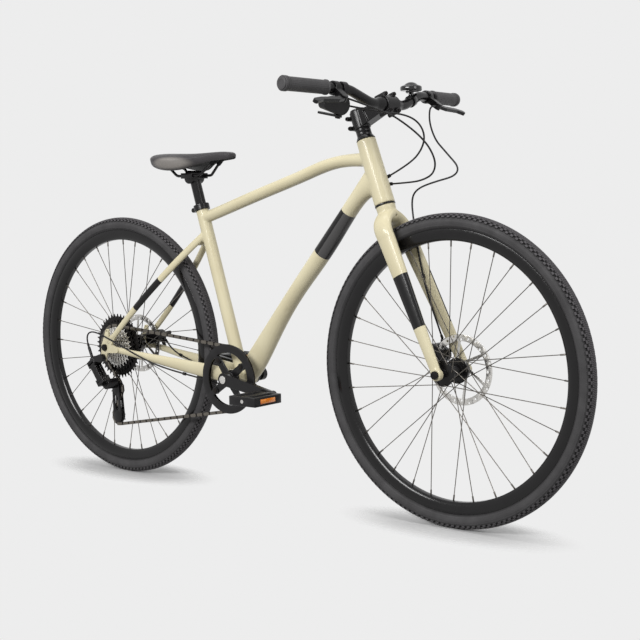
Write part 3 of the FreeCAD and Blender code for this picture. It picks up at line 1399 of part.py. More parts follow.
def bolt_spots():
    """The chainring bolts, halfway between the arm and the two directions beside it."""
    first = size.crank_angle + 180 / RING_BOLTS
    return [BRACKET + polar(first + 360 * bolt / RING_BOLTS, size.ring_bolt_circle) for bolt in range(RING_BOLTS)]


def make_cranks():
    half_spider = size.spider_thickness / 2
    right = crank_arm() + [disc(BRACKET, SPIDER_Y + half_spider, -size.crank_hub_outer, size.crank_hub_radius)]
    for spot in bolt_spots():
        level = LEFT * SPIDER_Y
        right.append(blade(BRACKET + level, spot + level, size.spider_root_radius, size.ring_tab_radius,
                           size.spider_thickness, LEFT))
    right = crank_bores(joined(right), EYE)
    left = joined(crank_arm())
    left.rotate(BRACKET, LEFT, 180)
    left = crank_bores(mirrored(left), LEFT_EYE)
    bolt_hole = size.ring_bolt_radius + size.seat_gap
    far = 2 * size.chain_line
    for spot in bolt_spots():
        right = right.cut(disc(spot, -far, 0, bolt_hole))
    feature("crank_arms", [right, left])
    spindle = [disc(BRACKET, -size.crank_hub_outer - size.seat_gap, size.crank_hub_outer + size.seat_gap,
                    size.spindle_radius)]
    head = size.crank_hub_outer + size.seat_gap
    for side in (1, -1):
        spindle.append(disc(BRACKET, side * head, side * (head + size.crank_bolt_length), size.crank_bolt_radius))
    axles = [joined(spindle)]
    collar = size.crank_eye_outer + size.seat_gap
    tip = collar + size.pedal_axle_collar_length + size.pedal_width
    for eye, side in ((EYE, -1), (LEFT_EYE, 1)):
        axles.append(joined([
            disc(eye, side * size.crank_eye_inner, side * tip, size.pedal_axle_radius),
            disc(eye, side * collar, side * (collar + size.pedal_axle_collar_length), size.pedal_axle_collar)]))
    feature("crank_axles", axles)


def make_pedal(label, eye, side):
    """A platform pedal: a frame with two windows round a bored barrel, and a reflector at each end."""
    inner = size.crank_eye_outer + size.seat_gap + size.pedal_axle_collar_length + size.body_gap
    middle = eye + LEFT * (side * (inner + size.pedal_width / 2))
    half = size.pedal_length / 2
    body = slab(middle - FORWARD * half, FORWARD, UP, size.pedal_length, size.pedal_width, size.pedal_height)
    window_start = size.pedal_barrel_radius + size.tooth_tip_half
    window_length = half - size.pedal_wall - window_start
    for way in (1, -1):
        corner = middle + FORWARD * (way * window_start)
        body = body.cut(slab(corner, FORWARD * way, UP, window_length, size.pedal_width - 2 * size.pedal_wall,
                             2 * size.pedal_height))
    body = joined([body, disc(eye, side * inner, side * (inner + size.pedal_width), size.pedal_barrel_radius)])
    far = 2 * (inner + size.pedal_width)
    body = body.cut(disc(eye, 0, side * far, size.pedal_axle_radius + size.running_clearance))
    reflectors = []
    for way in (1, -1):
        corner = middle + FORWARD * (way * half)
        inward = FORWARD * -way
        gap = 2 * size.seat_gap
        body = body.cut(slab(corner, inward, UP, size.reflector_depth + size.seat_gap,
                             size.reflector_width + gap, size.reflector_height + gap))
        reflectors.append(slab(corner, inward, UP, size.reflector_depth,
                               size.reflector_width, size.reflector_height))
    feature(label, [body] + reflectors)


make_cranks()
make_pedal("pedal_right", EYE, -1)
make_pedal("pedal_left", LEFT_EYE, 1)


# Chain, cassette and derailleur
COG_Y = [-size.cassette_outer + size.cog_pitch * index for index in range(len(COG_TEETH))]
CHAIN_Y = COG_Y[CHAIN_COG]
CAGE_PIVOT = REAR - V(size.cage_pivot_back, 0, size.cage_pivot_drop)


def cage_points(angle):
    """The two pulleys' centres for a direction of the cage."""
    guide = CAGE_PIVOT + polar(angle, size.guide_offset)
    return guide, guide + polar(angle, size.cage_length)


def chain_route(cage_angle):
    """The chain's loop as straight runs and arcs: the ring, tension pulley, guide pulley and cog in turn."""
    guide, tension = cage_points(cage_angle)
    pulley = pitch_radius(size.pulley_teeth)
    wheels = [(BRACKET, -pitch_radius(size.ring_teeth), RING_Y), (tension, -pulley, CHAIN_Y),
              (guide, pulley, CHAIN_Y), (REAR, -pitch_radius(COG_TEETH[CHAIN_COG]), CHAIN_Y)]
    runs = []
    for (centre, radius, y), (after, after_radius, after_y) in zip(wheels, wheels[1:] + wheels[:1]):
        step = after - centre
        lean = after_radius - radius
        length = math.sqrt(step.Length ** 2 - lean ** 2)
        heading = math.atan2(step.z, step.x) - math.atan2(lean, length)
        side = V(math.sin(heading), 0, -math.cos(heading))
        runs.append((heading, length, centre + side * radius, y, after_y))
    route = []
    for index, (centre, radius, y) in enumerate(wheels):
        arrive = runs[index - 1][0]
        leave = runs[index][0]
        sense = 1 if radius > 0 else -1
        turn = (leave - arrive) * sense % (2 * math.pi)
        route.append(("arc", abs(radius) * turn, centre, abs(radius), sense, arrive, y))
        heading, length, start, near_y, far_y = runs[index]
        route.append(("line", length, start, heading, near_y, far_y))
    return route


def chain_point(route, place):
    """The place at a distance along the loop."""
    place %= sum(piece[1] for piece in route)
    for piece in route:
        if place <= piece[1]:
            break
        place -= piece[1]
    if piece[0] == "line":
        _, length, start, heading, near_y, far_y = piece
        eased = (place - 2 * size.chain_pitch) / (length - 4 * size.chain_pitch)
        y = near_y + (far_y - near_y) * min(max(eased, 0), 1)
        return V(start.x + place * math.cos(heading), y, start.z + place * math.sin(heading))
    _, _, centre, radius, sense, arrive, y = piece
    heading = arrive + sense * place / radius
    side = V(math.sin(heading), 0, -math.cos(heading)) * (sense * radius)
    return V(centre.x + side.x, y, centre.z + side.z)


def next_pin(route, place):
    """The distance along the loop of the pin one pitch on."""
    here = chain_point(route, place)
    low, high = place, place + 2 * size.chain_pitch
    for _ in range(44):
        middle = (low + high) / 2
        if (chain_point(route, middle) - here).Length < size.chain_pitch:
            low = middle
        else:
            high = middle
    return high


def chain_pins(cage_angle, count):
    """Pins one pitch apart, and how far the last one overshoots the first."""
    route = chain_route(cage_angle)
    place = 0
    pins = []
    for _ in range(count):
        pins.append(chain_point(route, place))
        place = next_pin(route, place)
    return pins, place - sum(piece[1] for piece in route)


def solve_cage():
    """The cage direction at which a whole even number of links closes the loop."""
    nominal = -90.0
    swing = 14.0
    total = sum(piece[1] for piece in chain_route(nominal))
    count = 2 * round(total / size.chain_pitch / 2)
    low, high = nominal - swing, nominal + swing
    low_side = chain_pins(low, count)[1] > 0
    for _ in range(22):
        middle = (low + high) / 2
        if (chain_pins(middle, count)[1] > 0) == low_side:
            low = middle
        else:
            high = middle
    return (low + high) / 2, count


CAGE_ANGLE, LINK_COUNT = solve_cage()
GUIDE, TENSION = cage_points(CAGE_ANGLE)
PINS, chain_slack = chain_pins(CAGE_ANGLE, LINK_COUNT)
print(f"chain: {LINK_COUNT} links, cage at {CAGE_ANGLE:.2f}, closes within {chain_slack:.4f}, "
      f"guide {GUIDE}, tension {TENSION}")


def nearest_pin(centre, teeth):
    """The pin that sits deepest on a sprocket."""
    return min(PINS, key=lambda pin: abs(math.hypot(pin.x - centre.x, pin.z - centre.z) - pitch_radius(teeth)))


def make_chain():
    """Inner links with their rollers, and outer plates beside them, all round the loop."""
    pitch = V(size.chain_pitch, 0, 0)
    plate_y = (size.link_inner_gap + size.link_plate_thickness) / 2
    outer_y = plate_y + size.link_plate_thickness + size.link_plate_gap
    plates = []
    for offset in (plate_y, -plate_y, outer_y, -outer_y):
        level = LEFT * offset
        plates.append(blade(level, level + pitch, size.link_plate_radius, size.link_plate_radius,
                            size.link_plate_thickness, LEFT))
    half = size.link_inner_gap / 2 + size.link_plate_thickness / 2
    rollers = [disc(V(0, 0, 0), -half, half, size.roller_radius), disc(pitch, -half, half, size.roller_radius)]
    inner = joined(plates[:2] + rollers)
    links = []
    for index, pin in enumerate(PINS):
        after = PINS[(index + 1) % LINK_COUNT]
        way = after - pin
        level = LEFT - way * (LEFT.dot(way) / way.Length ** 2)
        place = axes(pin, way, way.cross(level))
        for piece in ([inner] if index % 2 else plates[2:]):
            copy = piece.copy()
            copy.Placement = place.multiply(piece.Placement)
            links.append(copy)
    feature("chain", links)


def make_cassette():
    """The freehub with its cogs, spacers and lockring."""
    inner_end = -(size.rear_right_flange + size.hub_flange_thickness / 2 + size.body_gap)
    lock_end = -(size.cassette_outer + size.cog_thickness / 2 + size.lockring_length)
    bore = size.axle_radius + size.running_clearance
    drum = joined([disc(REAR, inner_end, lock_end, size.freehub_radius),
                   disc(REAR, lock_end, -(size.rear_hub_width / 2 - size.body_gap), size.hub_end_radius)])
    pieces = [drum.cut(disc(REAR, -size.rear_hub_width, 0, bore))]
    seat = size.freehub_radius + size.seat_gap
    half = size.cog_thickness / 2
    for index, (teeth, y) in enumerate(zip(COG_TEETH, COG_Y)):
        phase = seat_phase(REAR, nearest_pin(REAR, teeth)) if index == CHAIN_COG else 0
        pieces.append(sprocket(REAR, y, teeth, size.cog_thickness, seat, phase))
        if index:
            pieces.append(ring(REAR, COG_Y[index - 1] + half + size.seat_gap, y - half - size.seat_gap,
                               size.cog_spacer_radius, seat))
    pieces.append(ring(REAR, -(size.cassette_outer + half + size.seat_gap), lock_end,
                       size.cog_spacer_radius, seat))
    feature("cassette", pieces)


def make_chainring():
    """The toothed ring and its guard, bolted to the spider."""
    phase = seat_phase(BRACKET, nearest_pin(BRACKET, int(size.ring_teeth)))
    teeth = sprocket(BRACKET, RING_Y, int(size.ring_teeth), size.ring_thickness, size.ring_inner_radius, phase)
    guard = ring(BRACKET, GUARD_Y - size.guard_thickness / 2, GUARD_Y + size.guard_thickness / 2,
                 size.guard_radius, size.guard_inner_radius)
    tabs, guard_tabs, bolts = [], [], []
    hole = size.ring_bolt_radius + size.seat_gap
    inside = RING_Y + size.ring_thickness / 2
    outside = GUARD_Y - size.guard_thickness / 2
    far = 2 * size.chain_line
    for spot in bolt_spots():
        outward = (spot - BRACKET).normalize() * size.ring_inner_radius
        for tab_list, y, thickness in ((tabs, RING_Y, size.ring_thickness),
                                       (guard_tabs, GUARD_Y, size.guard_thickness)):
            tab_list.append(blade(spot + LEFT * y, BRACKET + outward + LEFT * y, size.ring_tab_radius,
                                  size.ring_tab_radius / 2, thickness, LEFT))
        inner_head = inside + size.seat_gap
        outer_head = outside - size.seat_gap
        bolts.append(joined([disc(spot, inner_head, outer_head, size.ring_bolt_radius),
                             disc(spot, inner_head, inner_head + size.ring_thickness, size.ring_bolt_head),
                             disc(spot, outer_head, outer_head - size.ring_thickness, size.ring_bolt_head)]))
    pieces = [joined([teeth] + tabs), joined([guard] + guard_tabs)]
    for spot in bolt_spots():
        pieces = [piece.cut(disc(spot, -far, 0, hole)) for piece in pieces]
    feature("chainring", pieces + bolts)


make_chain()
make_cassette()
make_chainring()

LINK_TOP = REAR - V(size.link_upper_back, 0, size.link_upper_drop)
LINK_FOOT = REAR - V(size.link_lower_back, 0, size.link_lower_drop)
LINK_WAY = (LINK_FOOT - LINK_TOP).normalize()
LINK_PIN = LEFT.cross(LINK_WAY) * -1
LINK_MIDDLE = LEFT * (-(size.link_outer_y + size.link_inner_y) / 2)
HANGER = REAR - V(size.hanger_back, 0, size.hanger_drop)
ADJUSTER = LINK_TOP + V(-size.adjuster_back, 0, size.adjuster_rise) + LINK_MIDDLE


def link_pins(pivot):
    """The pins that hold both links at one end."""
    reach = LINK_PIN * (size.link_half_width + size.body_gap + size.link_ear_thickness)
    return [rod(pivot - LEFT * y - reach, pivot - LEFT * y + reach, size.link_pin_radius)
            for y in (size.link_outer_y, size.link_inner_y)]


def make_derailleur():
    """Body on the hanger, two links, the knuckle with the sprung cage, and the two pulleys."""
    block_length = size.link_block_back + size.link_block_front
    slot_height = 2 * (size.link_half_width + size.body_gap)
    block_height = slot_height + 2 * size.link_ear_thickness
    far = 4 * size.link_block_width
    face = -(size.rear_hub_width / 2 + 2 * size.seat_gap + size.dropout_thickness)
    arm_y = LEFT * (face - size.hanger_knuckle_length / 2)
    top_block = LINK_TOP + LINK_MIDDLE - LINK_WAY * size.link_block_back
    arm_end = LINK_TOP - LINK_WAY * (size.link_block_back - size.body_gap) + LINK_PIN * size.link_block_front
    hanger_inside = -(size.rear_hub_width / 2 + size.seat_gap)
    body = joined([
        slab(top_block, LINK_WAY, LINK_PIN, block_length, size.link_block_width, block_height),
        blade(HANGER + arm_y, arm_end + arm_y, size.hanger_knuckle_radius, size.hanger_bolt_radius,
              size.hanger_knuckle_length, LEFT),
        disc(HANGER, hanger_inside, face - size.hanger_knuckle_length, size.hanger_bolt_radius),
        rod(top_block, ADJUSTER, size.adjuster_radius)])
    slot = slab(LINK_TOP + LINK_MIDDLE - LINK_WAY * size.link_block_front, LINK_WAY, LINK_PIN, far, far, slot_height)
    feature("derailleur_body", joined([body.cut(slot)] + link_pins(LINK_TOP)))
    pin_bore = size.link_pin_radius + size.running_clearance
    reach = LINK_PIN * (2 * size.link_half_width)
    for label, y in (("derailleur_outer_link", size.link_outer_y), ("derailleur_inner_link", size.link_inner_y)):
        level = LEFT * -y
        link = blade(LINK_TOP + level, LINK_FOOT + level, size.link_barrel_radius, size.link_barrel_radius,
                     2 * size.link_half_width, LINK_PIN)
        for pivot in (LINK_TOP, LINK_FOOT):
            link = link.cut(rod(pivot + level - reach, pivot + level + reach, pin_bore))
        feature(label, link)
    foot_block = LINK_FOOT + LINK_MIDDLE - LINK_WAY * size.link_block_front
    knuckle = joined([slab(foot_block, LINK_WAY, LINK_PIN, block_length, size.link_block_width, block_height),
                      disc(CAGE_PIVOT, -size.knuckle_inner, -size.knuckle_outer, size.knuckle_radius)])
    slot = slab(LINK_FOOT + LINK_MIDDLE + LINK_WAY * size.link_block_front, LINK_WAY * -1, LINK_PIN,
                far, far, slot_height)
    knuckle = joined([knuckle.cut(slot)] + link_pins(LINK_FOOT))
    cage_bore = disc(CAGE_PIVOT, 0, -far, size.cage_pin_radius + size.running_clearance)
    feature("derailleur_knuckle", knuckle.cut(cage_bore))
    plate_y = size.cage_half_gap + size.cage_thickness / 2
    pieces = []
    for offset in (plate_y, -plate_y):
        level = LEFT * (CHAIN_Y + offset)
        pieces.append(blade(GUIDE + level, TENSION + level, size.cage_guide_radius, size.cage_tension_radius,
                            size.cage_thickness, LEFT))
    outer = LEFT * (CHAIN_Y - plate_y)
    pieces.append(blade(CAGE_PIVOT + outer, GUIDE + outer, size.cage_guide_radius, size.cage_guide_radius,
                        size.cage_thickness, LEFT))
    pieces.append(disc(CAGE_PIVOT, CHAIN_Y - plate_y, -size.knuckle_outer, size.cage_pin_radius))
    window_shares = (0.30, 0.70)
    run = TENSION - GUIDE
    start, end = [GUIDE + run * share for share in window_shares]
    window = blade(start, end, size.pulley_hub_radius, size.pulley_hub_radius, far, LEFT)
    cage = joined(pieces).cut(window)
    rods = [disc(centre, CHAIN_Y - plate_y, CHAIN_Y + plate_y, size.pulley_pin_radius) for centre in (GUIDE, TENSION)]
    feature("derailleur_cage", joined([cage] + rods))
    half_gap = size.cage_half_gap - size.body_gap
    for label, centre in (("guide_pulley", GUIDE), ("tension_pulley", TENSION)):
        teeth = int(size.pulley_teeth)
        bore = size.pulley_pin_radius + size.running_clearance
        phase = seat_phase(centre, nearest_pin(centre, teeth))
        wheel = joined([sprocket(centre, CHAIN_Y, teeth, size.pulley_thickness, bore, phase),
                        ring(centre, CHAIN_Y - half_gap, CHAIN_Y + half_gap, size.pulley_hub_radius, bore)])
        feature(label, wheel)


make_derailleur()


# Brake calipers
def make_caliper(end, centre, disc_y, angle, stay_way, stay_y, boss_angle, arm_angle, neighbour):
    """A caliper straddling its disc, with legs to the frame, a cable boss and a turning arm."""
    half = size.caliper_width / 2
    middle = centre + polar(angle, size.caliper_reach)
    level = LEFT * disc_y
    spread = polar(angle, size.caliper_spread)
    face = disc_y + half
    boss_level = LEFT * (face - size.caliper_boss_inset)
    leg_level = LEFT * (face - size.caliper_leg_inset)
    arm_face = face + size.body_gap
    pin_end = arm_face + size.caliper_arm_thickness + size.body_gap
    pieces = [blade(middle - spread + level, middle + spread + level, size.caliper_radius, size.caliper_radius,
                    size.caliper_width, LEFT),
              rod(middle + boss_level + polar(boss_angle, size.caliper_boss_start),
                  middle + boss_level + polar(boss_angle, size.caliper_boss_end), size.caliper_boss_radius),
              disc(middle, face - half / 2, pin_end, size.caliper_pin_radius)]
    for reach in (size.caliper_leg_near, size.caliper_leg_far):
        near = centre + polar(angle, reach) + leg_level
        far = centre + stay_way * reach + LEFT * stay_y
        leg = rod(near, far, size.caliper_mount_radius).cut(neighbour)
        pieces.append(min(leg.Solids, key=lambda piece: (piece.CenterOfMass - near).Length))
    slot_half = size.caliper_slot / 2
    slot = disc(centre, disc_y - slot_half, disc_y + slot_half, size.rotor_radius + size.caliper_edge_gap)
    pieces[0] = pieces[0].cut(slot)
    feature(end + "_caliper", largest(pieces[0].multiFuse(pieces[1:])))
    arm_level = LEFT * (arm_face + size.caliper_arm_thickness / 2)
    tip = middle + polar(arm_angle, size.caliper_arm_length)
    arm = blade(middle + arm_level, tip + arm_level, size.caliper_arm_root, size.caliper_arm_tip,
                size.caliper_arm_thickness, LEFT)
    far = 2 * pin_end
    arm = arm.cut(disc(middle, 0, far, size.caliper_pin_radius + size.running_clearance))
    feature(end + "_caliper_arm", arm)
    return middle + boss_level + polar(boss_angle, size.caliper_boss_end + size.cable_end_gap)


def shape_of(label):
    return [node for node in nodes if node.Label == label][0].Shape


doc.recompute()
FRONT_DISC = size.front_rotor_face + size.rotor_thickness / 2
REAR_DISC = size.rear_rotor_face + size.rotor_thickness / 2
leg_top = steered(size.leg_top_fore, 0, -size.leg_top_drop)
FRONT_CALIPER_ANGLE, FRONT_BOSS_ANGLE, FRONT_ARM_ANGLE = 150.0, 84.0, 215.0
REAR_CALIPER_ANGLE, REAR_BOSS_ANGLE, REAR_ARM_ANGLE = 18.0, -20.0, 18.0
FRONT_STOP = make_caliper("front", FRONT, FRONT_DISC, FRONT_CALIPER_ANGLE, (leg_top - FRONT).normalize(),
                          size.fork_end_y, FRONT_BOSS_ANGLE, FRONT_ARM_ANGLE, fork_solid)
REAR_STOP = make_caliper("rear", REAR, REAR_DISC, REAR_CALIPER_ANGLE, (BRACKET - REAR).normalize(),
                         size.chainstay_end_y, REAR_BOSS_ANGLE, REAR_ARM_ANGLE, shape_of("chainstays"))


# Cables: places along each housing
SHIFT_ROUTE = [(-78.0, -24.0, 269.6), (-120.0, -25.0, 269.6), (-190.0, -36.0, 283.5), (-330.0, -56.0, 307.0),
               (-400.0, -71.0, 332.0), (-505.0, -83.5, 376.0), (-583.0, -80.5, 397.0), (-612.0, -77.5, 376.0)]
REAR_BRAKE_ROUTE = [(-78.0, 24.0, 269.6), (-120.0, 25.0, 269.6), (-190.0, 35.0, 283.0), (-260.0, 36.0, 296.0),
                    (-328.0, 38.2, 320.0), (-400.0, 46.6, 338.0)]
STEERING_SHIFT_ROUTE = [(405.0, -70.0, 924.0), (450.0, -46.0, 918.0), (478.0, -32.0, 901.0), (487.0, -20.0, 872.0),
                        (471.0, -9.0, 842.0), (430.0, 5.0, 813.0), (361.0, 20.0, 788.0)]
STEERING_BRAKE_ROUTE = [(424.0, -70.0, 922.0), (452.0, -50.0, 899.0), (481.0, -35.0, 872.0), (499.0, -20.0, 844.0),
                        (508.0, -10.0, 812.0), (496.0, -3.0, 787.0), (463.0, 5.0, 775.0), (425.0, 13.0, 770.5),
                        (366.0, 21.0, 769.0)]
FRONT_BRAKE_ROUTE = [(391.5, 147.0, 949.8), (395.0, 131.0, 938.0), (403.0, 120.0, 906.0), (424.0, 112.0, 868.0),
                     (451.0, 105.0, 845.0), (537.0, 58.5, 787.4), (447.0, 46.0, 767.0), (413.0, 46.0, 753.0),
                     (402.0, 46.0, 732.0), (408.0, 43.0, 690.0), (427.0, 32.6, 624.0), (437.0, 30.2, 581.0),
                     (447.0, 31.9, 538.0), (462.0, 35.6, 487.0), (474.0, 40.7, 450.0)]


def places(route):
    return [V(*spot) for spot in route]


def clip(spots, index, neighbour):
    """A cable clip halfway along one straight run, fitted to the tube beside it."""
    middle = (spots[index] + spots[index + 1]) * 0.5
    way = (spots[index + 1] - spots[index]).normalize() * (size.clip_length / 2)
    holder = bored(middle - way, middle + way, size.guide_radius, size.housing_radius + size.seat_gap)
    return holder.cut(neighbour)


def make_cables():
    radius = size.housing_radius
    down_adjuster = (ADJUSTER - LINK_TOP - LINK_MIDDLE + LINK_WAY * size.link_block_back).normalize()
    shift = places(SHIFT_ROUTE) + [ADJUSTER + down_adjuster * size.cable_end_gap]
    brake = places(REAR_BRAKE_ROUTE) + [REAR_STOP]
    held = [cable("rear shift cable", shift, radius), cable("rear brake cable", brake, radius)]
    guide_at = BRACKET - V(size.cable_guide_length / 2, 0, size.bb_shell_radius + size.cable_guide_height / 4)
    guide = slab(guide_at, FORWARD, UP, size.cable_guide_length, size.cable_guide_width, size.cable_guide_height)
    shell = disc(BRACKET, -size.bb_shell_width, size.bb_shell_width, size.bb_shell_radius + size.seat_gap)
    guide = guide.cut(shell)
    for side in (1, -1):
        run = places(REAR_BRAKE_ROUTE if side > 0 else SHIFT_ROUTE)
        guide = guide.cut(rod(run[0] + FORWARD * size.cut_overrun, run[1], radius + size.seat_gap))
    stays = shape_of("chainstays")
    guide = guide.cut(stays).cut(shape_of("down_tube")).cut(shape_of("seat_tube"))
    held.append(largest(guide))
    held += [clip(shift, 2, stays), clip(brake, 2, stays), clip(brake, 4, stays)]
    ports = []
    head = Part.makeCone(size.head_tube_bottom_radius, size.head_tube_top_radius, size.head_tube_length, HEAD, HEAD_UP)
    moving = []
    pod_start = POD - BAR_OUT * (size.shifter_radius + size.seat_gap)
    lever_start = lever_point(-size.bracket_tip_radius - size.seat_gap, size.lever_pivot_reach)
    routes = [("steering shift cable", [pod_start] + places(STEERING_SHIFT_ROUTE)),
              ("steering brake cable", [lever_start] + places(STEERING_BRAKE_ROUTE))]
    for name, spots in routes:
        moving.append(cable(name, spots, radius))
        way = (spots[-1] - spots[-2]).normalize()
        start = spots[-1] + way * size.body_gap
        ports.append(largest(rod(start, start + way * (2 * size.port_length), size.guide_radius).cut(head)))
    feature("frame_cables", held + ports)
    feature("steering_cables", moving)
    left_start = V(lever_start.x, -lever_start.y, lever_start.z)
    front = [left_start] + places(FRONT_BRAKE_ROUTE) + [FRONT_STOP]
    feature("front_brake_cable", [cable("front brake cable", front, radius), clip(front, -5, fork_solid)])


make_cables()


# Checks and export
doc.recompute()
for thing in doc.Objects:
    if "Invalid" in thing.State or "Error" in thing.State:
        raise RuntimeError(f"{thing.Label} did not compute: {thing.State}")
for node in nodes:
    if node.Shape.isNull() or not node.Shape.isValid():
        raise RuntimeError(f"{node.Label} has no valid shape")
    if not node.Shape.Solids:
        raise RuntimeError(f"{node.Label} has no solid")
os.makedirs("parts", exist_ok=True)
for node in nodes:
    node.Shape.exportStep(os.path.join("parts", node.Label + ".step"))
print(len(nodes), "parts")
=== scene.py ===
import math

import bmesh
import bpy
import numpy as np
from mathutils import Matrix, Vector

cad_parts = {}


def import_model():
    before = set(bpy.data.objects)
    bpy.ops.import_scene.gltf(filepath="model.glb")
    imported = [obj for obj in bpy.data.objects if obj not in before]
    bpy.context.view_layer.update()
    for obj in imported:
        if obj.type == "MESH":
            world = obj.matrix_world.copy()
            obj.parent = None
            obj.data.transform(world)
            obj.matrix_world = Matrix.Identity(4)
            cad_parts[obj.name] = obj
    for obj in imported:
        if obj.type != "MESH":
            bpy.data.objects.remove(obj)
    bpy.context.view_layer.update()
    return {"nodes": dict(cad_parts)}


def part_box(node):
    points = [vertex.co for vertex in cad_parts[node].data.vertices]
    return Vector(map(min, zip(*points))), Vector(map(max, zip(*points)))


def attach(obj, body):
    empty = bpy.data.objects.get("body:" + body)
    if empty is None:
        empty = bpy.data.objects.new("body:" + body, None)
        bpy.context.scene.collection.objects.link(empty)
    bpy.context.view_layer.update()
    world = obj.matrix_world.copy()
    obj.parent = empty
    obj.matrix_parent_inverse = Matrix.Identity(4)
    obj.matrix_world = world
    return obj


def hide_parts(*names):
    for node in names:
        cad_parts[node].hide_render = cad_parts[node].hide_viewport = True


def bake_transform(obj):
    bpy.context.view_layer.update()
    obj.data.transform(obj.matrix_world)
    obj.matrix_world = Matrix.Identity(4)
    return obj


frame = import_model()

# Camera: metres and degrees, with lens and sensor in millimetres
CAMERA_PLACE = Vector((2.0458, -2.2703, 0.7185))
CAMERA_YAW = 39.683
CAMERA_PITCH = -5.200
CAMERA_ROLL = -1.092
CAMERA_LENS = 69.565
SENSOR = 36.0

# Layout in metres: the way ahead square to the head axis, the bar's clamp, and its bend and end
HEAD_FORE = Vector((0.94438, 0.0, 0.32887))
BAR_CLAMP = Vector((0.37206, 0.0, 0.94658))
BAR_BEND = Vector((-0.008, 0.132, 0.026))
BAR_END = Vector((-0.033, 0.3205, 0.0295))
SIDES = {"left": 1, "right": -1}

# Mesh settings
WELD = 2e-6
MM_PER_METRE = 1000
NEARLY_UPRIGHT = 0.1
SMOOTH_FACTOR = 0.5
BEVEL_SEGMENTS = 2
BEVEL_FROM = math.radians(35)
CRISP_SHARP = math.radians(38)
TURNED_SHARP = math.radians(40)
BOLT_SHARP = math.radians(35)
TYRE_SHARP = math.radians(30)


# Mesh helpers
def centre_of(node):
    low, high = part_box(node)
    return (Vector(low) + Vector(high)) / 2


def size_of(node):
    low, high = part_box(node)
    return Vector(high) - Vector(low)


def metres(place):
    """A point of a cable route, which is written in millimetres."""
    return Vector(place) / MM_PER_METRE


def mirrored(spot, side):
    return Vector((spot.x, spot.y * side, spot.z))


def show(name, data):
    made = bpy.data.objects.new(name, data)
    bpy.context.scene.collection.objects.link(made)
    return made


def show_smooth(name, mesh):
    mesh.polygons.foreach_set("use_smooth", [True] * len(mesh.polygons))
    return show(name, mesh)


def mesh_piece(name, points, faces):
    """A smooth-shaded object from points and faces."""
    mesh = bpy.data.meshes.new(name)
    mesh.from_pydata([tuple(point) for point in points], [], faces)
    mesh.update()
    return show_smooth(name, mesh)


def final_mesh(piece):
    """A new mesh of a curve, or of a mesh with its modifiers."""
    graph = bpy.context.evaluated_depsgraph_get()
    graph.update()
    return bpy.data.meshes.new_from_object(piece.evaluated_get(graph))


def applied(piece):
    """Puts a piece's modifiers into its mesh."""
    mesh = final_mesh(piece)
    piece.modifiers.clear()
    piece.data = mesh
    return piece


def cad_copy(name, nodes):
    """A welded copy of some CAD nodes as one new object."""
    made = bmesh.new()
    for node in nodes:
        made.from_mesh(frame["nodes"][node].data)
    bmesh.ops.remove_doubles(made, verts=made.verts, dist=WELD)
    mesh = bpy.data.meshes.new(name)
    made.to_mesh(mesh)
    made.free()
    mesh.materials.clear()
    return show_smooth(name, mesh)


def put(piece, body, materials, nodes=()):
    """Gives a piece its finish and the body that it moves with."""
    if not piece.data.materials:
        for material in materials:
            piece.data.materials.append(material)
    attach(piece, body)
    if nodes:
        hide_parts(*nodes)
    return piece


def rounded(name, nodes, body, material, voxel, rounds):
    """A cast or welded piece: CAD solids run together, with soft edges and filled corners."""
    piece = cad_copy(name, nodes)
    remesh = piece.modifiers.new("remesh", "REMESH")
    remesh.mode = "VOXEL"
    remesh.voxel_size = voxel
    remesh.use_smooth_shade = True
    smooth = piece.modifiers.new("smooth", "SMOOTH")
    smooth.factor = SMOOTH_FACTOR
    smooth.iterations = rounds
    put(applied(piece), body, [material], nodes)


def loose_parts(mesh):
    """The faces, vertices, lowest corner and highest corner of each loose part of a mesh."""
    parent = list(range(len(mesh.vertices)))

    def root(index):
        while parent[index] != index:
            parent[index] = parent[parent[index]]
            index = parent[index]
        return index

    for edge in mesh.edges:
        first, second = edge.vertices
        parent[root(first)] = root(second)
    found = {}
    for face in mesh.polygons:
        found.setdefault(root(face.vertices[0]), []).append(face.index)
    places = np.array([vertex.co for vertex in mesh.vertices])
    for faces in found.values():
        used = sorted({index for face in faces for index in mesh.polygons[face].vertices})
        yield faces, used, places[used].min(0), places[used].max(0)


def crisp(name, nodes, body, materials, bevel, choose=None):
    """A machined piece: CAD solids with bevelled edges. choose picks a loose part's material."""
    piece = cad_copy(name, nodes)
    for material in materials:
        piece.data.materials.append(material)
    if choose:
        for faces, _, low, high in loose_parts(piece.data):
            for face in faces:
                piece.data.polygons[face].material_index = choose(low, high)
    edges = piece.modifiers.new("bevel", "BEVEL")
    edges.width = bevel
    edges.segments = BEVEL_SEGMENTS
    edges.limit_method = "ANGLE"
    edges.angle_limit = BEVEL_FROM
    applied(piece)
    piece.data.set_sharp_from_angle(angle=CRISP_SHARP)
    put(piece, body, materials, nodes)


def axes_to(direction):
    """The unit vector of a direction, and two more that are square to it."""
    way = Vector(direction).normalized()
    side = way.cross(Vector((0, 0, 1)))
    if side.length < NEARLY_UPRIGHT:
        side = way.cross(Vector((1, 0, 0)))
    side.normalize()
    return way, side, way.cross(side)


def tube_faces(rings, around):
    """Quads round and along a tube of rings, and after them a face for each end."""
    faces = []
    for row in range(rings - 1):
        here, there = row * around, (row + 1) * around
        for step in range(around):
            after = (step + 1) % around
            faces.append((here + step, here + after, there + after, there + step))
    last = (rings - 1) * around
    return faces + [tuple(range(around))[::-1], tuple(range(last, last + around))]


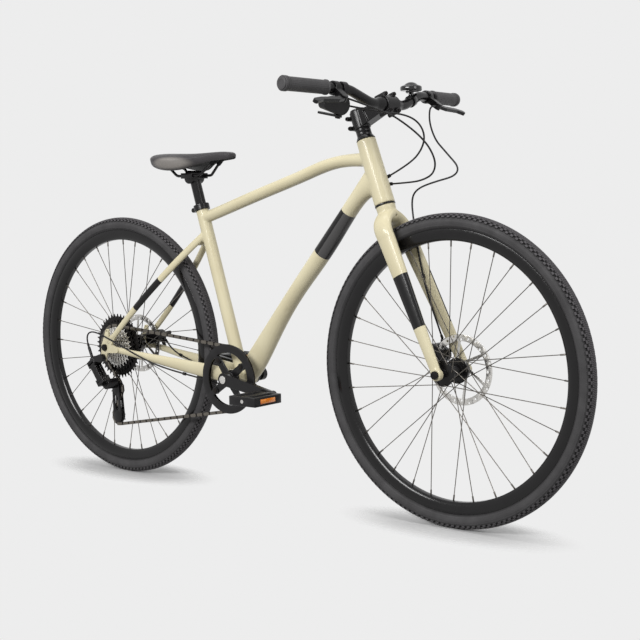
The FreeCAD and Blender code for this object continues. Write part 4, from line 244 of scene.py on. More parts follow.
def lathe(name, start, direction, profile, around, relief=None):
    """A turned piece: pairs of distance and radius along a direction, with a relief if wanted."""
    way, side, up = axes_to(direction)
    points = []
    for along, radius in profile:
        for step in range(around):
            turn = 2 * math.pi * step / around
            out = radius + (relief(along, turn, radius) if relief else 0.0)
            points.append(start + way * along
                          + (side * math.cos(turn) + up * math.sin(turn)) * out)
    piece = mesh_piece(name, points, tube_faces(len(profile), around))
    piece.data.set_sharp_from_angle(angle=TURNED_SHARP)
    return piece


# Materials
NOISE_LOW = 0.3
NOISE_HIGH = 0.7


def linear(level):
    """The linear value of an sRGB level from 0 to 255."""
    share = level / 255
    return share / 12.92 if share <= 0.04045 else ((share + 0.055) / 1.055) ** 2.4


def colour(red, green, blue):
    return (linear(red), linear(green), linear(blue), 1.0)


def grey(level):
    return (level, level, level, 1.0)


def shaded(tone, share):
    return tuple(level * share for level in tone[:3]) + (1.0,)


class Nodes:
    """A node tree under construction."""

    def __init__(self, tree):
        self.tree = tree

    def feed(self, socket, value):
        if isinstance(value, bpy.types.NodeSocket):
            self.tree.links.new(value, socket)
        else:
            socket.default_value = value

    def node(self, kind, **inputs):
        made = self.tree.nodes.new(kind)
        for key, value in inputs.items():
            self.feed(made.inputs[key.replace("_", " ")], value)
        return made

    def math(self, operation, first, second):
        made = self.node("ShaderNodeMath")
        made.operation = operation
        self.feed(made.inputs[0], first)
        self.feed(made.inputs[1], second)
        return made.outputs[0]

    def remap(self, value, low, high, to_low, to_high):
        """The node that takes a number from one range to another."""
        return self.node("ShaderNodeMapRange", Value=value, From_Min=low, From_Max=high,
                         To_Min=to_low, To_Max=to_high)

    def surface(self, factor, first, second, output):
        """Mixes two shaders into the tree's output."""
        mix = self.node("ShaderNodeMixShader", Fac=factor)
        self.feed(mix.inputs[1], first)
        self.feed(mix.inputs[2], second)
        self.feed(self.tree.nodes[output].inputs["Surface"], mix.outputs["Shader"])


class Look(Nodes):
    """A material under construction: its node tree, shader and shared object coordinates."""

    def __init__(self, name):
        self.material = bpy.data.materials.new(name)
        self.material.use_nodes = True
        super().__init__(self.material.node_tree)
        self.shader = self.tree.nodes["Principled BSDF"]
        self.places = self.node("ShaderNodeTexCoord").outputs["Object"]

    def set(self, **inputs):
        for key, value in inputs.items():
            self.feed(self.shader.inputs[key.replace("_", " ")], value)

    def vector(self, operation, first, second=None, output="Vector"):
        made = self.node("ShaderNodeVectorMath")
        made.operation = operation
        self.feed(made.inputs[0], first)
        if second is not None:
            self.feed(made.inputs["Scale" if operation == "SCALE" else 1], second)
        return made.outputs[output]

    def length(self, value):
        return self.vector("LENGTH", value, output="Value")

    def dot(self, first, second):
        return self.vector("DOT_PRODUCT", first, second, "Value")

    def noise(self, scale, detail=3.0):
        made = self.node("ShaderNodeTexNoise", Vector=self.places, Scale=scale, Detail=detail)
        return made.outputs["Fac"]

    def cells(self, scale):
        made = self.node("ShaderNodeTexVoronoi", Vector=self.places, Scale=scale)
        return made.outputs["Distance"]

    def between(self, factor, low, high):
        """A colour that goes from one to another with a factor."""
        made = self.node("ShaderNodeMix")
        made.data_type = "RGBA"
        for key, value in (("Factor", factor), ("A", low), ("B", high)):
            self.feed(made.inputs[key], value)
        return next(socket for socket in made.outputs if socket.type == "RGBA")

    def spread(self, factor, low, high):
        """A number spread from a noise, whose values lie round one half."""
        return self.remap(factor, NOISE_LOW, NOISE_HIGH, low, high).outputs["Result"]

    def mottle(self, scale, detail=3.0):
        """A noise spread from nought to one."""
        return self.spread(self.noise(scale, detail), 0.0, 1.0)

    def ramp(self, value, start, end):
        """A soft step from nought at start to one at end, whichever of the two is higher."""
        low, high = sorted((start, end))
        first, last = (0.0, 1.0) if start < end else (1.0, 0.0)
        made = self.remap(value, low, high, first, last)
        made.interpolation_type = "SMOOTHSTEP"
        return made.outputs["Result"]

    def relief(self, height, strength, distance):
        made = self.node("ShaderNodeBump", Height=height, Strength=strength, Distance=distance)
        self.feed(self.shader.inputs["Normal"], made.outputs["Normal"])
        return self

    def band(self, start, end, radius, outward=None, margin=0.0):
        """One between two square cuts along a tube, near its line, and on one side if wanted."""
        way = (end - start).normalized()
        offset = self.vector("SUBTRACT", self.places, tuple(start))
        along = self.dot(offset, tuple(way))
        across = self.vector("SUBTRACT", offset, self.vector("SCALE", tuple(way), along))
        mask = self.math("MULTIPLY", self.math("GREATER_THAN", along, 0.0),
                         self.math("LESS_THAN", along, (end - start).length))
        near = self.math("LESS_THAN", self.length(across), radius)
        mask = self.math("MULTIPLY", mask, near)
        if outward is not None:
            level = self.dot(across, tuple(outward))
            mask = self.math("MULTIPLY", mask, self.math("GREATER_THAN", level, -margin))
        return mask


PAINT_TONES = (colour(197, 188, 157), colour(204, 196, 166))


def paint(name, bands):
    """Gloss paint with fine orange peel and a few dark bands."""
    look = Look(name)
    base = look.between(look.mottle(scale=9.0, detail=2.0), *PAINT_TONES)
    for dark, mask in bands(look):
        base = look.between(mask, base, dark)
    look.set(Base_Color=base, Roughness=look.spread(look.noise(scale=60.0), 0.30, 0.38),
             Specular_IOR_Level=0.12, Coat_Weight=0.3, Coat_Roughness=0.14)
    peel = look.noise(scale=900.0, detail=2.0)
    return look.relief(peel, strength=0.015, distance=0.0003).material


# Dark bands in the paint: their two ends on the line of the tube, and their reach from that line
DOWN_BAND = (Vector((0.2565, 0.0, 0.7060)), Vector((0.1735, 0.0, 0.6090)))
STAY_BAND = (Vector((-0.335, 0.0478, 0.5381)), Vector((-0.4184, 0.0576, 0.4608)))
LEG_BAND = (Vector((0.4335, 0.0448, 0.5640)), Vector((0.4885, 0.0515, 0.4510)))
DOWN_REACH = 0.045
STAY_REACH = 0.022
LEG_REACH = 0.04
# How far the leg's band goes round past the line of the leg
LEG_LAP = 0.002
# The charcoal strip in the down tube's band, as distances below the line of the tube
STRIP_TOP = 0.0010
STRIP_BASE = 0.0200
CHARCOAL = colour(72, 71, 71)
INK = colour(15, 14, 15)


def frame_bands(look):
    start, end = DOWN_BAND
    upward = Vector((end.z - start.z, 0.0, start.x - end.x)).normalized()
    strip = look.math("MULTIPLY", look.band(start, end, DOWN_REACH, upward, STRIP_BASE),
                      look.band(start, end, DOWN_REACH, -upward, -STRIP_TOP))
    bands = [(INK, look.band(start, end, DOWN_REACH)), (CHARCOAL, strip)]
    for side in SIDES.values():
        start, end = (mirrored(spot, side) for spot in STAY_BAND)
        bands.append((INK, look.band(start, end, STAY_REACH)))
    return bands


def fork_bands(look):
    bands = []
    for side in SIDES.values():
        start, end = (mirrored(spot, side) for spot in LEG_BAND)
        bands.append((INK, look.band(start, end, LEG_REACH, Vector((0, side, 0)), LEG_LAP)))
    return bands


COAT_VARIATION = 0.15
STEEL_DARK = 0.8
RUBBER_BLOOM = 1.4


def coated(name, tone, rough, grain=700.0, depth=0.0003, coat=0.0, shine=0.3):
    """Anodised, painted or moulded black: an uneven tone, a grain and mottling in the gloss."""
    look = Look(name)
    dark, light = shaded(tone, 1 - COAT_VARIATION), shaded(tone, 1 + COAT_VARIATION)
    look.set(Base_Color=look.between(look.mottle(scale=40.0), dark, light),
             Roughness=look.spread(look.noise(scale=180.0), rough - 0.05, rough + 0.05),
             Specular_IOR_Level=shine, Coat_Weight=coat, Coat_Roughness=0.08)
    return look.relief(look.noise(grain, detail=2.0), strength=0.2, distance=depth).material


def steel(name, tone, rough, grain=300.0):
    """Bare metal with a fine grain in its tone, gloss and surface."""
    look = Look(name)
    fine = look.noise(grain, detail=4.0)
    dark = shaded(tone, STEEL_DARK)
    look.set(Base_Color=look.between(look.spread(fine, 0.0, 1.0), dark, tone), Metallic=1.0,
             Roughness=look.spread(fine, rough - 0.08, rough + 0.1))
    return look.relief(fine, strength=0.15, distance=0.0002).material


def rubber(name, tone, rough, grain, depth):
    """Matt rubber with a dusty bloom and a fine skin."""
    look = Look(name)
    bloom = shaded(tone, RUBBER_BLOOM)
    look.set(Base_Color=look.between(look.mottle(scale=22.0, detail=5.0), tone, bloom),
             Roughness=look.spread(look.noise(scale=90.0), rough - 0.07, rough + 0.07),
             Specular_IOR_Level=0.25)
    return look.relief(look.noise(grain, detail=3.0), strength=0.3, distance=depth).material


SIDEWALL_TONES = (colour(54, 53, 54), colour(68, 67, 68))
# Tread tones: the dark one is painted shade in the grooves, the light one is the block tops
TREAD_GROOVE_SHADE_TONES = (colour(17, 16, 17), colour(74, 72, 74))
# Painted shade on the bead next to the rim
BEAD_SHADE_TONE = colour(34, 33, 34)
WHEEL_PLANE = (1.0, 0.0, 1.0)
AXLE_WAY = (0.0, 1.0, 0.0)


def tyre_rubber(name, centre, ring, section, tread_from, bead_to):
    """Tyre rubber: block tops over grooves darkened with painted shade, a bead darkened with
    painted shade next to the rim, and a grey bloom between.
    """
    look = Look(name)
    offset = look.vector("SUBTRACT", look.places, tuple(centre))
    reach = look.length(look.vector("MULTIPLY", offset, WHEEL_PLANE))
    wall = look.math("MULTIPLY", look.ramp(reach, tread_from + 0.002, tread_from - 0.004),
                     look.ramp(reach, bead_to, bead_to + 0.005))
    across = look.math("POWER", look.dot(look.places, AXLE_WAY), 2.0)
    rise = look.math("POWER", look.math("SUBTRACT", reach, ring), 2.0)
    depth = look.math("SQRT", look.math("ADD", rise, across), 0.0)
    # Painted shade: the grooves go dark below the block tops
    tops = look.ramp(depth, section - 0.0013, section - 0.0003)
    bloom = look.between(look.mottle(scale=22.0, detail=5.0), *SIDEWALL_TONES)
    tread = look.ramp(reach, tread_from - 0.003, tread_from)
    # Below the tread, the bead takes its painted shade
    bare = look.between(tread, BEAD_SHADE_TONE, look.between(tops, *TREAD_GROOVE_SHADE_TONES))
    look.set(Base_Color=look.between(wall, bare, bloom), Specular_IOR_Level=0.25,
             Roughness=look.spread(look.noise(scale=90.0), 0.62, 0.76))
    skin = look.noise(scale=900.0, detail=3.0)
    return look.relief(skin, strength=0.3, distance=0.0004).material


# The saddle's lighter field: its middle, its reach, and where it fades as shares of that reach
FIELD_CENTRE = Vector((-0.272, 0.0, 0.838))
FIELD_REACH = Vector((0.056, 1.0, 0.0165))
FIELD_FADE = (1.15, 0.6)


def leather(name, tone, field_tone, cell):
    """Saddle cover: a pebbled skin over foam, with painted shade in the pits of the pebbles and a
    lighter field on each flank.
    """
    look = Look(name)
    pebble = look.cells(cell)
    offset = look.vector("SUBTRACT", look.places, tuple(FIELD_CENTRE))
    far = look.length(look.vector("DIVIDE", offset, tuple(FIELD_REACH)))
    base = look.between(look.ramp(far, *FIELD_FADE), tone, field_tone)
    # Painted shade: the colour darkens towards the middles of the pebble cells, where the relief
    # sinks
    pit_shade = look.math("ADD", look.math("MULTIPLY", pebble, 0.5), 0.75)
    look.set(Base_Color=look.vector("SCALE", base, pit_shade), Specular_IOR_Level=0.3,
             Roughness=look.spread(look.noise(scale=120.0), 0.42, 0.56), Sheen_Weight=0.1)
    return look.relief(pebble, strength=0.35, distance=0.0006).material


REFLECTOR_TONES = (colour(255, 168, 40), colour(226, 104, 12))


def reflector(name):
    """Orange prism reflector."""
    look = Look(name)
    prisms = look.cells(scale=420.0)
    look.set(Base_Color=look.between(prisms, *REFLECTOR_TONES), Roughness=0.14,
             Transmission_Weight=0.15, IOR=1.49, Coat_Weight=0.6)
    return look.relief(prisms, strength=0.5, distance=0.0006).material


FRAME_PAINT = paint("frame_paint_gloss", frame_bands)
FORK_PAINT = paint("fork_paint_gloss", fork_bands)
BLACK_ALLOY = coated("black_alloy", colour(18, 17, 18), rough=0.24, depth=0.0001, shine=0.24)
SATIN_BLACK = coated("satin_black", colour(20, 19, 20), rough=0.24, depth=0.0001, shine=0.26)
GLOSS_BLACK = coated("gloss_black_shell", colour(14, 14, 15), rough=0.12, coat=0.5, depth=0.0001)
MOULDED_BLACK = coated("moulded_black", colour(25, 24, 25), rough=0.34, grain=1100.0,
                       depth=0.0004, shine=0.22)
RIM_BLACK = coated("rim_black", colour(16, 15, 16), rough=0.18, grain=900.0, depth=0.0001)
HOUSING_BLACK = coated("cable_housing", colour(20, 19, 20), rough=0.34, grain=1500.0, shine=0.25)
BRIGHT_STEEL = steel("bright_steel_brushed", colour(214, 212, 208), rough=0.3)
SPOKE_STEEL = steel("spoke_steel", colour(104, 100, 95), rough=0.36, grain=900.0)
DARK_STEEL = steel("dark_steel_oiled", colour(46, 43, 41), rough=0.42)
LINK_STEEL = steel("link_plate_steel", colour(112, 107, 100), rough=0.3)
BLACK_STEEL = steel("black_steel", colour(40, 38, 38), rough=0.36)
GRIP_RUBBER = rubber("grip_rubber_soft", colour(58, 57, 58), rough=0.5, grain=1200.0, depth=0.0004)
SADDLE_COVER = leather("saddle_cover_skin", colour(46, 44, 46), colour(120, 116, 112), cell=1100.0)
SADDLE_SHELL = coated("saddle_base_shell", colour(9, 9, 9), rough=0.6, grain=1100.0,
                      depth=0.0005, shine=0.1)
ORANGE = reflector("orange_reflector")


def black_casting(name, node, body, voxel, rounds):
    """One CAD node as a cast or forged piece in black alloy."""
    rounded(name, [node], body, BLACK_ALLOY, voxel, rounds)


# Frame and fork, with fillets where the tubes are welded
FRAME_TUBES = ["head_tube", "top_tube", "down_tube", "seat_tube", "bottom_bracket_shell",
               "chainstays", "seatstays"]
rounded("frame_weldment", FRAME_TUBES, "frame", FRAME_PAINT,
        voxel=0.0020, rounds=10)
rounded("fork_casting", ["fork"], "steering", FORK_PAINT, voxel=0.0016, rounds=8)
crisp("dropout_plates", ["rear_dropouts"], "frame", [FRAME_PAINT], bevel=0.0008)


# Tyres. Angles go round the section in degrees, from the middle of the tread, and steps go round
# the wheel.
TREAD_PITCHES = 156
PITCH_STEPS = 9
BLOCK_STEPS = 5
ROW_SHIFT = 4
RIB_STEPS = 3
RIB_PITCH = 9.0
RIB_EDGE = 27.0
RIB_GROOVE = 3.0
ROW_SPLIT = 42.0
TREAD_EDGE = 58.0
TREAD_LAP = 1.0
WALL_FROM = 4.0
BEAD_ANGLE = 129.0
ANGLE_STEP = 3.0
WALL_ROWS = 14
INNER_ROWS = 9
SHOULDER_DEPTH = 0.0030
INNER_DEPTH_SHARE = 0.7
RIB_DEPTH = 0.0011
BEAD_HALF = 0.0123
BEAD_RISE = 0.0005
BEAD_DEPTH = 0.0035
BEAD_SLOPE = 0.0023
CASING_WALL = 0.003
# Raised lines round the sidewall: angle and height
SIDEWALL_LINES = ((66.0, 0.0004), (84.0, 0.0003), (112.0, 0.0005))
LINE_HALF = 3.0


def tread_depth(step, angle):
    """How far the tyre's face lies below the tops of its blocks."""
    off = abs(angle)
    phase = (step + (ROW_SHIFT if angle > 0 else 0)) % PITCH_STEPS
    if off < RIB_EDGE:
        return RIB_DEPTH if step % RIB_STEPS == int(off / RIB_PITCH) % RIB_STEPS else 0.0
    if off < RIB_EDGE + RIB_GROOVE:
        return RIB_DEPTH
    if off < ROW_SPLIT:
        return 0.0 if phase < BLOCK_STEPS else SHOULDER_DEPTH * INNER_DEPTH_SHARE
    if off < TREAD_EDGE:
        return 0.0 if (phase + BLOCK_STEPS) % PITCH_STEPS < BLOCK_STEPS else SHOULDER_DEPTH
    return SHOULDER_DEPTH


def tyre_angles():
    fine = list(np.arange(-TREAD_EDGE - TREAD_LAP, TREAD_EDGE + TREAD_LAP, ANGLE_STEP))
    wall = list(np.linspace(TREAD_EDGE + WALL_FROM, BEAD_ANGLE, WALL_ROWS))
    return [-angle for angle in wall[::-1]] + fine + wall


def tyre(end):
    """One tyre: ribs on its crown, two rows of shoulder blocks each side, and sidewalls."""
    node = end + "_tyre"
    centre = centre_of(node)
    section = size_of(node).y / 2
    ring = size_of(node).z / 2 - section
    bead = size_of(end + "_rim").z / 2 + BEAD_RISE
    toe = [(bead, BEAD_HALF), (bead, BEAD_HALF - BEAD_SLOPE),
           (bead - BEAD_DEPTH, BEAD_HALF - BEAD_SLOPE)]
    lining = section - CASING_WALL
    inner = [(ring + lining * math.cos(angle), lining * math.sin(angle))
             for angle in map(math.radians, np.linspace(BEAD_ANGLE, -BEAD_ANGLE, INNER_ROWS))]
    inside = toe + inner + [(reach, -out) for reach, out in toe[::-1]]
    angles = tyre_angles()
    count = TREAD_PITCHES * PITCH_STEPS
    points = []
    for step in range(count):
        turn = 2 * math.pi * step / count
        spoke = Vector((math.cos(turn), 0, math.sin(turn)))
        spots = []
        for angle in angles:
            face = section - tread_depth(step, angle)
            face += sum(rise for at, rise in SIDEWALL_LINES if abs(abs(angle) - at) < LINE_HALF)
            face, bent = min(face, section), math.radians(angle)
            spots.append((ring + face * math.cos(bent), face * math.sin(bent)))
        points += [centre + spoke * reach + Vector((0, out, 0)) for reach, out in spots + inside]
    wide = len(angles) + len(inside)
    faces = []
    for step in range(count):
        here, there = step * wide, ((step + 1) % count) * wide
        for row in range(wide):
            after = (row + 1) % wide
            faces.append((here + row, here + after, there + after, there + row))
    piece = mesh_piece(end + "_tyre_tread", points, faces)
    piece.data.set_sharp_from_angle(angle=TYRE_SHARP)
    tread_from = ring + section * math.cos(math.radians(TREAD_EDGE))
    look = tyre_rubber(end + "_tyre_rubber", centre, ring, section, tread_from, bead)
    put(piece, end + "_wheel", [look], [node])


# Wheels. Profiles of turned pieces are pairs of distance and radius.
VALVE_TURN = {"front": 120.0, "rear": -10.0}
VALVE_INSET = 0.027
VALVE_PROFILE = [(0.0, 0.0034), (0.0, 0.0042), (0.002, 0.0042), (0.002, 0.0031), (0.016, 0.0031),
                 (0.016, 0.0040), (0.026, 0.0040), (0.029, 0.0030), (0.030, 0.0012)]
SMALL_AROUND = 20


def wheel(end):
    tyre(end)
    body, rim = end + "_wheel", end + "_rim"
    crisp(end + "_rim_hoop", [rim], body, [RIM_BLACK], bevel=0.0010)
    crisp(end + "_hub_shell", [end + "_hub"], body, [BLACK_ALLOY], bevel=0.0006)
    crisp(end + "_brake_disc", [end + "_rotor"], body, [BRIGHT_STEEL],
          bevel=0.0002)
    crisp(end + "_spoke_set", [end + "_spokes"], body, [SPOKE_STEEL],
          bevel=0.0002)
    turn = math.radians(VALVE_TURN[end])
    inward = Vector((-math.cos(turn), 0, -math.sin(turn)))
    foot = centre_of(rim) - inward * (size_of(rim).z / 2 - VALVE_INSET)
    valve = lathe(end + "_valve", foot, inward, VALVE_PROFILE, SMALL_AROUND)
    put(valve, body, [SATIN_BLACK])


for end in ("front", "rear"):
    wheel(end)


# Cockpit
GRIP_LENGTH = 0.128
GRIP_RADIUS = 0.0150
GRIP_BORE = 0.0112
GRIP_WALL = 0.004
GRIP_AROUND = 96
GRIP_ROWS = 89
# The collars at both ends of a grip, their edges, and the disc in the outer end
GRIP_COLLAR = 0.010
COLLAR_RADIUS = 0.0166
COLLAR_EDGE = COLLAR_RADIUS - 0.0006
DISC_RADIUS = GRIP_RADIUS - 0.001
DISC_SINK = 0.0006
OUTER_COLLAR = GRIP_LENGTH - GRIP_WALL - GRIP_COLLAR
# The grip's pattern and where it starts and stops
GRIP_DIAMONDS = 22
GRIP_TURNS = 24
GRIP_RELIEF = 0.00045
PATTERN_FROM = 0.008
PATTERN_TO = OUTER_COLLAR - 0.004
# Socket bolts: sizes in metres, and the recess and edge as shares
BOLT_AROUND = 24
BOLT_RADIUS = 0.0044
BOLT_LENGTH = 0.005
BOLT_SINK = 0.0045
BOLT_EDGE = 0.14
HEXAGON_RADIUS = 0.52
HEXAGON_DEPTH = 0.6
HEXAGON_SIDE = math.pi / 3
BELL_FOOT = Vector((0.36806, 0.097, 0.9826))
BELL_AROUND = 64
BELL_BAND_PROFILE = [(0.0, 0.0215), (0.0, 0.0236), (0.0012, 0.0248), (0.0028, 0.0252),
                     (0.0080, 0.0252), (0.0098, 0.0244), (0.0114, 0.0222), (0.0124, 0.0190),
                     (0.0124, 0.0170)]


def grip_profile():
    """Distance and radius from the inner collar to the end disc."""
    rim = OUTER_COLLAR + GRIP_COLLAR
    rows = [(0.0, GRIP_BORE), (0.0, COLLAR_RADIUS - 0.0008), (0.001, COLLAR_RADIUS),
            (0.004, COLLAR_RADIUS), (0.005, GRIP_RADIUS)]
    rows += [(along, GRIP_RADIUS) for along in np.linspace(0.006, OUTER_COLLAR - 0.002, GRIP_ROWS)]
    rows += [(OUTER_COLLAR - 0.001, GRIP_RADIUS - 0.0008), (OUTER_COLLAR, COLLAR_EDGE),
             (OUTER_COLLAR + 0.001, COLLAR_RADIUS), (OUTER_COLLAR + 0.004, COLLAR_RADIUS),
             (OUTER_COLLAR + 0.0045, COLLAR_EDGE), (OUTER_COLLAR + 0.005, COLLAR_RADIUS),
             (rim, COLLAR_RADIUS), (rim + 0.001, COLLAR_EDGE), (rim + 0.0015, DISC_RADIUS),
             (GRIP_LENGTH - DISC_SINK, DISC_RADIUS), (GRIP_LENGTH, GRIP_RADIUS - 0.0018),
             (GRIP_LENGTH, 0.008), (GRIP_LENGTH - DISC_SINK, 0.0075),
             (GRIP_LENGTH - DISC_SINK, 0.001)]
    return rows


def grip_relief(along, turn, radius):
    """A diamond pattern over the middle of the grip."""
    if not PATTERN_FROM < along < PATTERN_TO or radius != GRIP_RADIUS:
        return 0.0
    run = along / OUTER_COLLAR * GRIP_DIAMONDS * math.pi
    lean = turn * GRIP_TURNS / 2
    return GRIP_RELIEF * math.cos(run + lean) * math.cos(run - lean)


def grips():
    for name, side in SIDES.items():
        bend, tip = (BAR_CLAMP + mirrored(offset, side) for offset in (BAR_BEND, BAR_END))
        outward = (tip - bend).normalized()
        start = tip - outward * (GRIP_LENGTH - GRIP_WALL)
        piece = lathe(name + "_grip_sleeve", start, outward, grip_profile(), GRIP_AROUND,
                      grip_relief)
        put(piece, "steering", [GRIP_RUBBER])
    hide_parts("grips")


def socket_bolt(name, spot, direction):
    """A socket-head bolt with a hexagon recess."""
    way, side, up = axes_to(direction)
    edge = BOLT_RADIUS * BOLT_EDGE
    hexagon = BOLT_RADIUS * HEXAGON_RADIUS
    rings = [(0.0, BOLT_RADIUS, False), (BOLT_LENGTH - edge, BOLT_RADIUS, False),
             (BOLT_LENGTH, BOLT_RADIUS - edge, False), (BOLT_LENGTH, hexagon, True),
             (BOLT_LENGTH - BOLT_LENGTH * HEXAGON_DEPTH, hexagon, True)]
    points = []
    for along, reach, hexed in rings:
        for step in range(BOLT_AROUND):
            turn = 2 * math.pi * step / BOLT_AROUND
            flat = turn % HEXAGON_SIDE - HEXAGON_SIDE / 2
            out = reach * (math.cos(HEXAGON_SIDE / 2) / math.cos(flat) if hexed else 1.0)
            points.append(spot + way * along
                          + (side * math.cos(turn) + up * math.sin(turn)) * out)
    piece = mesh_piece(name, points, tube_faces(len(rings), BOLT_AROUND))
    piece.data.set_sharp_from_angle(angle=BOLT_SHARP)
    return put(piece, "steering", [BLACK_STEEL])


def stem_bolts():
    """Socket bolts in the places of the plain bolt heads."""
    places = cad_copy("bolt_places", ["stem_bolts"])
    for number, (_, _, low, high) in enumerate(loose_parts(places.data), start=1):
        spot = Vector((low + high) / 2)
        ahead = (spot - BAR_CLAMP).dot(HEAD_FORE) > 0
        way = HEAD_FORE if ahead else Vector((0, -1, 0))
        socket_bolt(f"stem_bolt_{number}", spot - way * BOLT_SINK, way)
    bpy.data.objects.remove(places)
    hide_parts("stem_bolts")


grips()
stem_bolts()
black_casting("stem_forging", "stem", "steering", voxel=0.0008, rounds=5)
black_casting("stem_clamp_plate", "stem_faceplate", "steering", voxel=0.0008, rounds=5)
crisp("headset_stack", ["headset_spacers"], "steering", [SATIN_BLACK], bevel=0.0006)
crisp("bar_tube", ["handlebar"], "steering", [SATIN_BLACK], bevel=0.0006)
black_casting("lever_clamps", "brake_brackets", "steering", voxel=0.0007, rounds=4)
for side in ("right", "left"):
    lever = "brake_lever_" + side
    black_casting(side + "_brake_blade", lever, lever, voxel=0.0006, rounds=6)
rounded("shifter_case", ["shifter_pod"], "steering", MOULDED_BLACK,
        voxel=0.0008, rounds=6)
rounded("shifter_paddle", ["shift_lever"], "shift_lever", MOULDED_BLACK,
        voxel=0.0006, rounds=5)
crisp("bell_dome", ["bell"], "steering", [GLOSS_BLACK], bevel=0.0006)
put(lathe("bell_ring_band", BELL_FOOT, (0, 0, 1), BELL_BAND_PROFILE, BELL_AROUND),
    "steering", [GLOSS_BLACK])
rounded("bell_thumb_striker", ["bell_striker"], "bell_striker", MOULDED_BLACK,
        voxel=0.0005, rounds=4)


# Brakes
black_casting("front_caliper_casting", "front_caliper", "steering", voxel=0.0008, rounds=4)
black_casting("rear_caliper_casting", "rear_caliper", "frame", voxel=0.0008, rounds=4)
for end in ("front", "rear"):
    arm = end + "_caliper_arm"
    black_casting(end + "_caliper_lever", arm, arm, voxel=0.0005, rounds=4)
crisp("front_axle_ends", ["front_axle"], "steering", [BLACK_STEEL], bevel=0.0006)
crisp("rear_axle_ends", ["rear_axle"], "frame", [BLACK_STEEL], bevel=0.0006)


# Drive. Sizes, in metres, that tell the loose parts of a node apart.
COG_BLACK_FROM = 0.060
RING_BOLT_MOST = 0.05
GUARD_INNER_Y = -0.0535
OUTER_PLATE_MOST = 0.003
REFLECTOR_MOST = 0.006


def cog_finish(low, high):
    return 1 if (high[2] - low[2]) / 2 > COG_BLACK_FROM else 0


def ring_finish(low, high):
    if high[2] - low[2] < RING_BOLT_MOST:
        return 2
    return 1 if high[1] < GUARD_INNER_Y else 0


def link_finish(low, high):
    return 1 if high[1] - low[1] < OUTER_PLATE_MOST else 0


def pedal_finish(low, high):
    return 1 if high[0] - low[0] < REFLECTOR_MOST else 0


crisp("chain_links", ["chain"], "frame", [DARK_STEEL, LINK_STEEL],
      bevel=0.0001, choose=link_finish)
crisp("cassette_cogs", ["cassette"], "cassette", [BRIGHT_STEEL, BLACK_STEEL],
      bevel=0.00015, choose=cog_finish)
crisp("chainring_and_guard", ["chainring"], "crank",
      [BLACK_STEEL, MOULDED_BLACK, DARK_STEEL], bevel=0.0006, choose=ring_finish)
black_casting("crank_forgings", "crank_arms", "crank", voxel=0.0009, rounds=5)
crisp("crank_spindle", ["crank_axles"], "crank", [BRIGHT_STEEL], bevel=0.0004)
for side in ("right", "left"):
    pedal = "pedal_" + side
    crisp(side + "_pedal_cage", [pedal], pedal, [MOULDED_BLACK, ORANGE],
          bevel=0.0012, choose=pedal_finish)
black_casting("derailleur_mount", "derailleur_body", "frame", voxel=0.0007, rounds=4)
for name, node, voxel in (("derailleur_outer_plate", "derailleur_outer_link", 0.0006),
                          ("derailleur_inner_plate", "derailleur_inner_link", 0.0006),
                          ("derailleur_lower_knuckle", "derailleur_knuckle", 0.0007)):
    black_casting(name, node, node, voxel, rounds=4)
crisp("derailleur_cage_plates", ["derailleur_cage"], "derailleur_cage",
      [BLACK_ALLOY], bevel=0.0005)
for kind in ("guide", "tension"):
    pulley = kind + "_pulley"
    crisp(kind + "_wheel", [pulley], pulley, [MOULDED_BLACK], bevel=0.0003)
crisp("bearing_cups", ["frame_bearings"], "frame", [SATIN_BLACK], bevel=0.0004)


# Seat
black_casting("seat_collar", "seat_clamp", "frame", voxel=0.0006, rounds=4)
crisp("seatpost_tube", ["seatpost"], "seat", [SATIN_BLACK], bevel=0.0012)
crisp("saddle_rail_pair", ["saddle_rails"], "seat", [BLACK_ALLOY], bevel=0.0003)

# Saddle stations from tail to nose: place, half width, drop of the top and thickness, as shares
SADDLE_STATIONS = [(0.0, 0.42, 0.25, 0.40), (0.025, 0.66, 0.15, 0.66), (0.10, 0.92, 0.09, 0.98),
                   (0.24, 1.0, 0.09, 1.20), (0.38, 0.94, 0.13, 1.23), (0.50, 0.74, 0.17, 1.08),
                   (0.60, 0.49, 0.17, 0.82), (0.74, 0.32, 0.14, 0.62), (0.90, 0.26, 0.12, 0.58),
                   (0.975, 0.21, 0.19, 0.46), (1.0, 0.12, 0.30, 0.26)]
# Half a section, from the middle of the top to the middle of the base: share out and share down
SADDLE_RING = [(0.0, 0.06), (0.30, 0.01), (0.60, 0.02), (0.84, 0.11), (0.97, 0.28), (1.0, 0.36),
               (1.0, 0.44), (0.98, 0.66), (0.92, 0.90), (0.80, 1.0), (0.72, 0.95), (0.40, 0.80),
               (0.0, 0.78)]
# The first point of the half section that belongs to the base shell
BASE_POINT = 9
SADDLE_LEVELS = 3
SADDLE_FINISHES = (SADDLE_COVER, SADDLE_SHELL)
CLAMP_MIDDLE = Vector((-0.25014, 0.0, 0.80582))
# A rail socket's profile up to its top, and the radius there
SOCKET_FOOT = [(0.0, 0.0040), (0.0, 0.0050), (0.001, 0.0056)]
SOCKET_RADIUS = 0.0075
# Each rail end's last straight run from the middle of the clamp, and the shares that its socket
# covers
RAIL_ENDS = [("front", (0.040, 0.022, 0.0), (0.092, 0.009, 0.04018), 0.66, 1.12),
             ("rear", (-0.040, 0.022, 0.0), (-0.082, 0.030, 0.04018), 0.52, 0.78)]


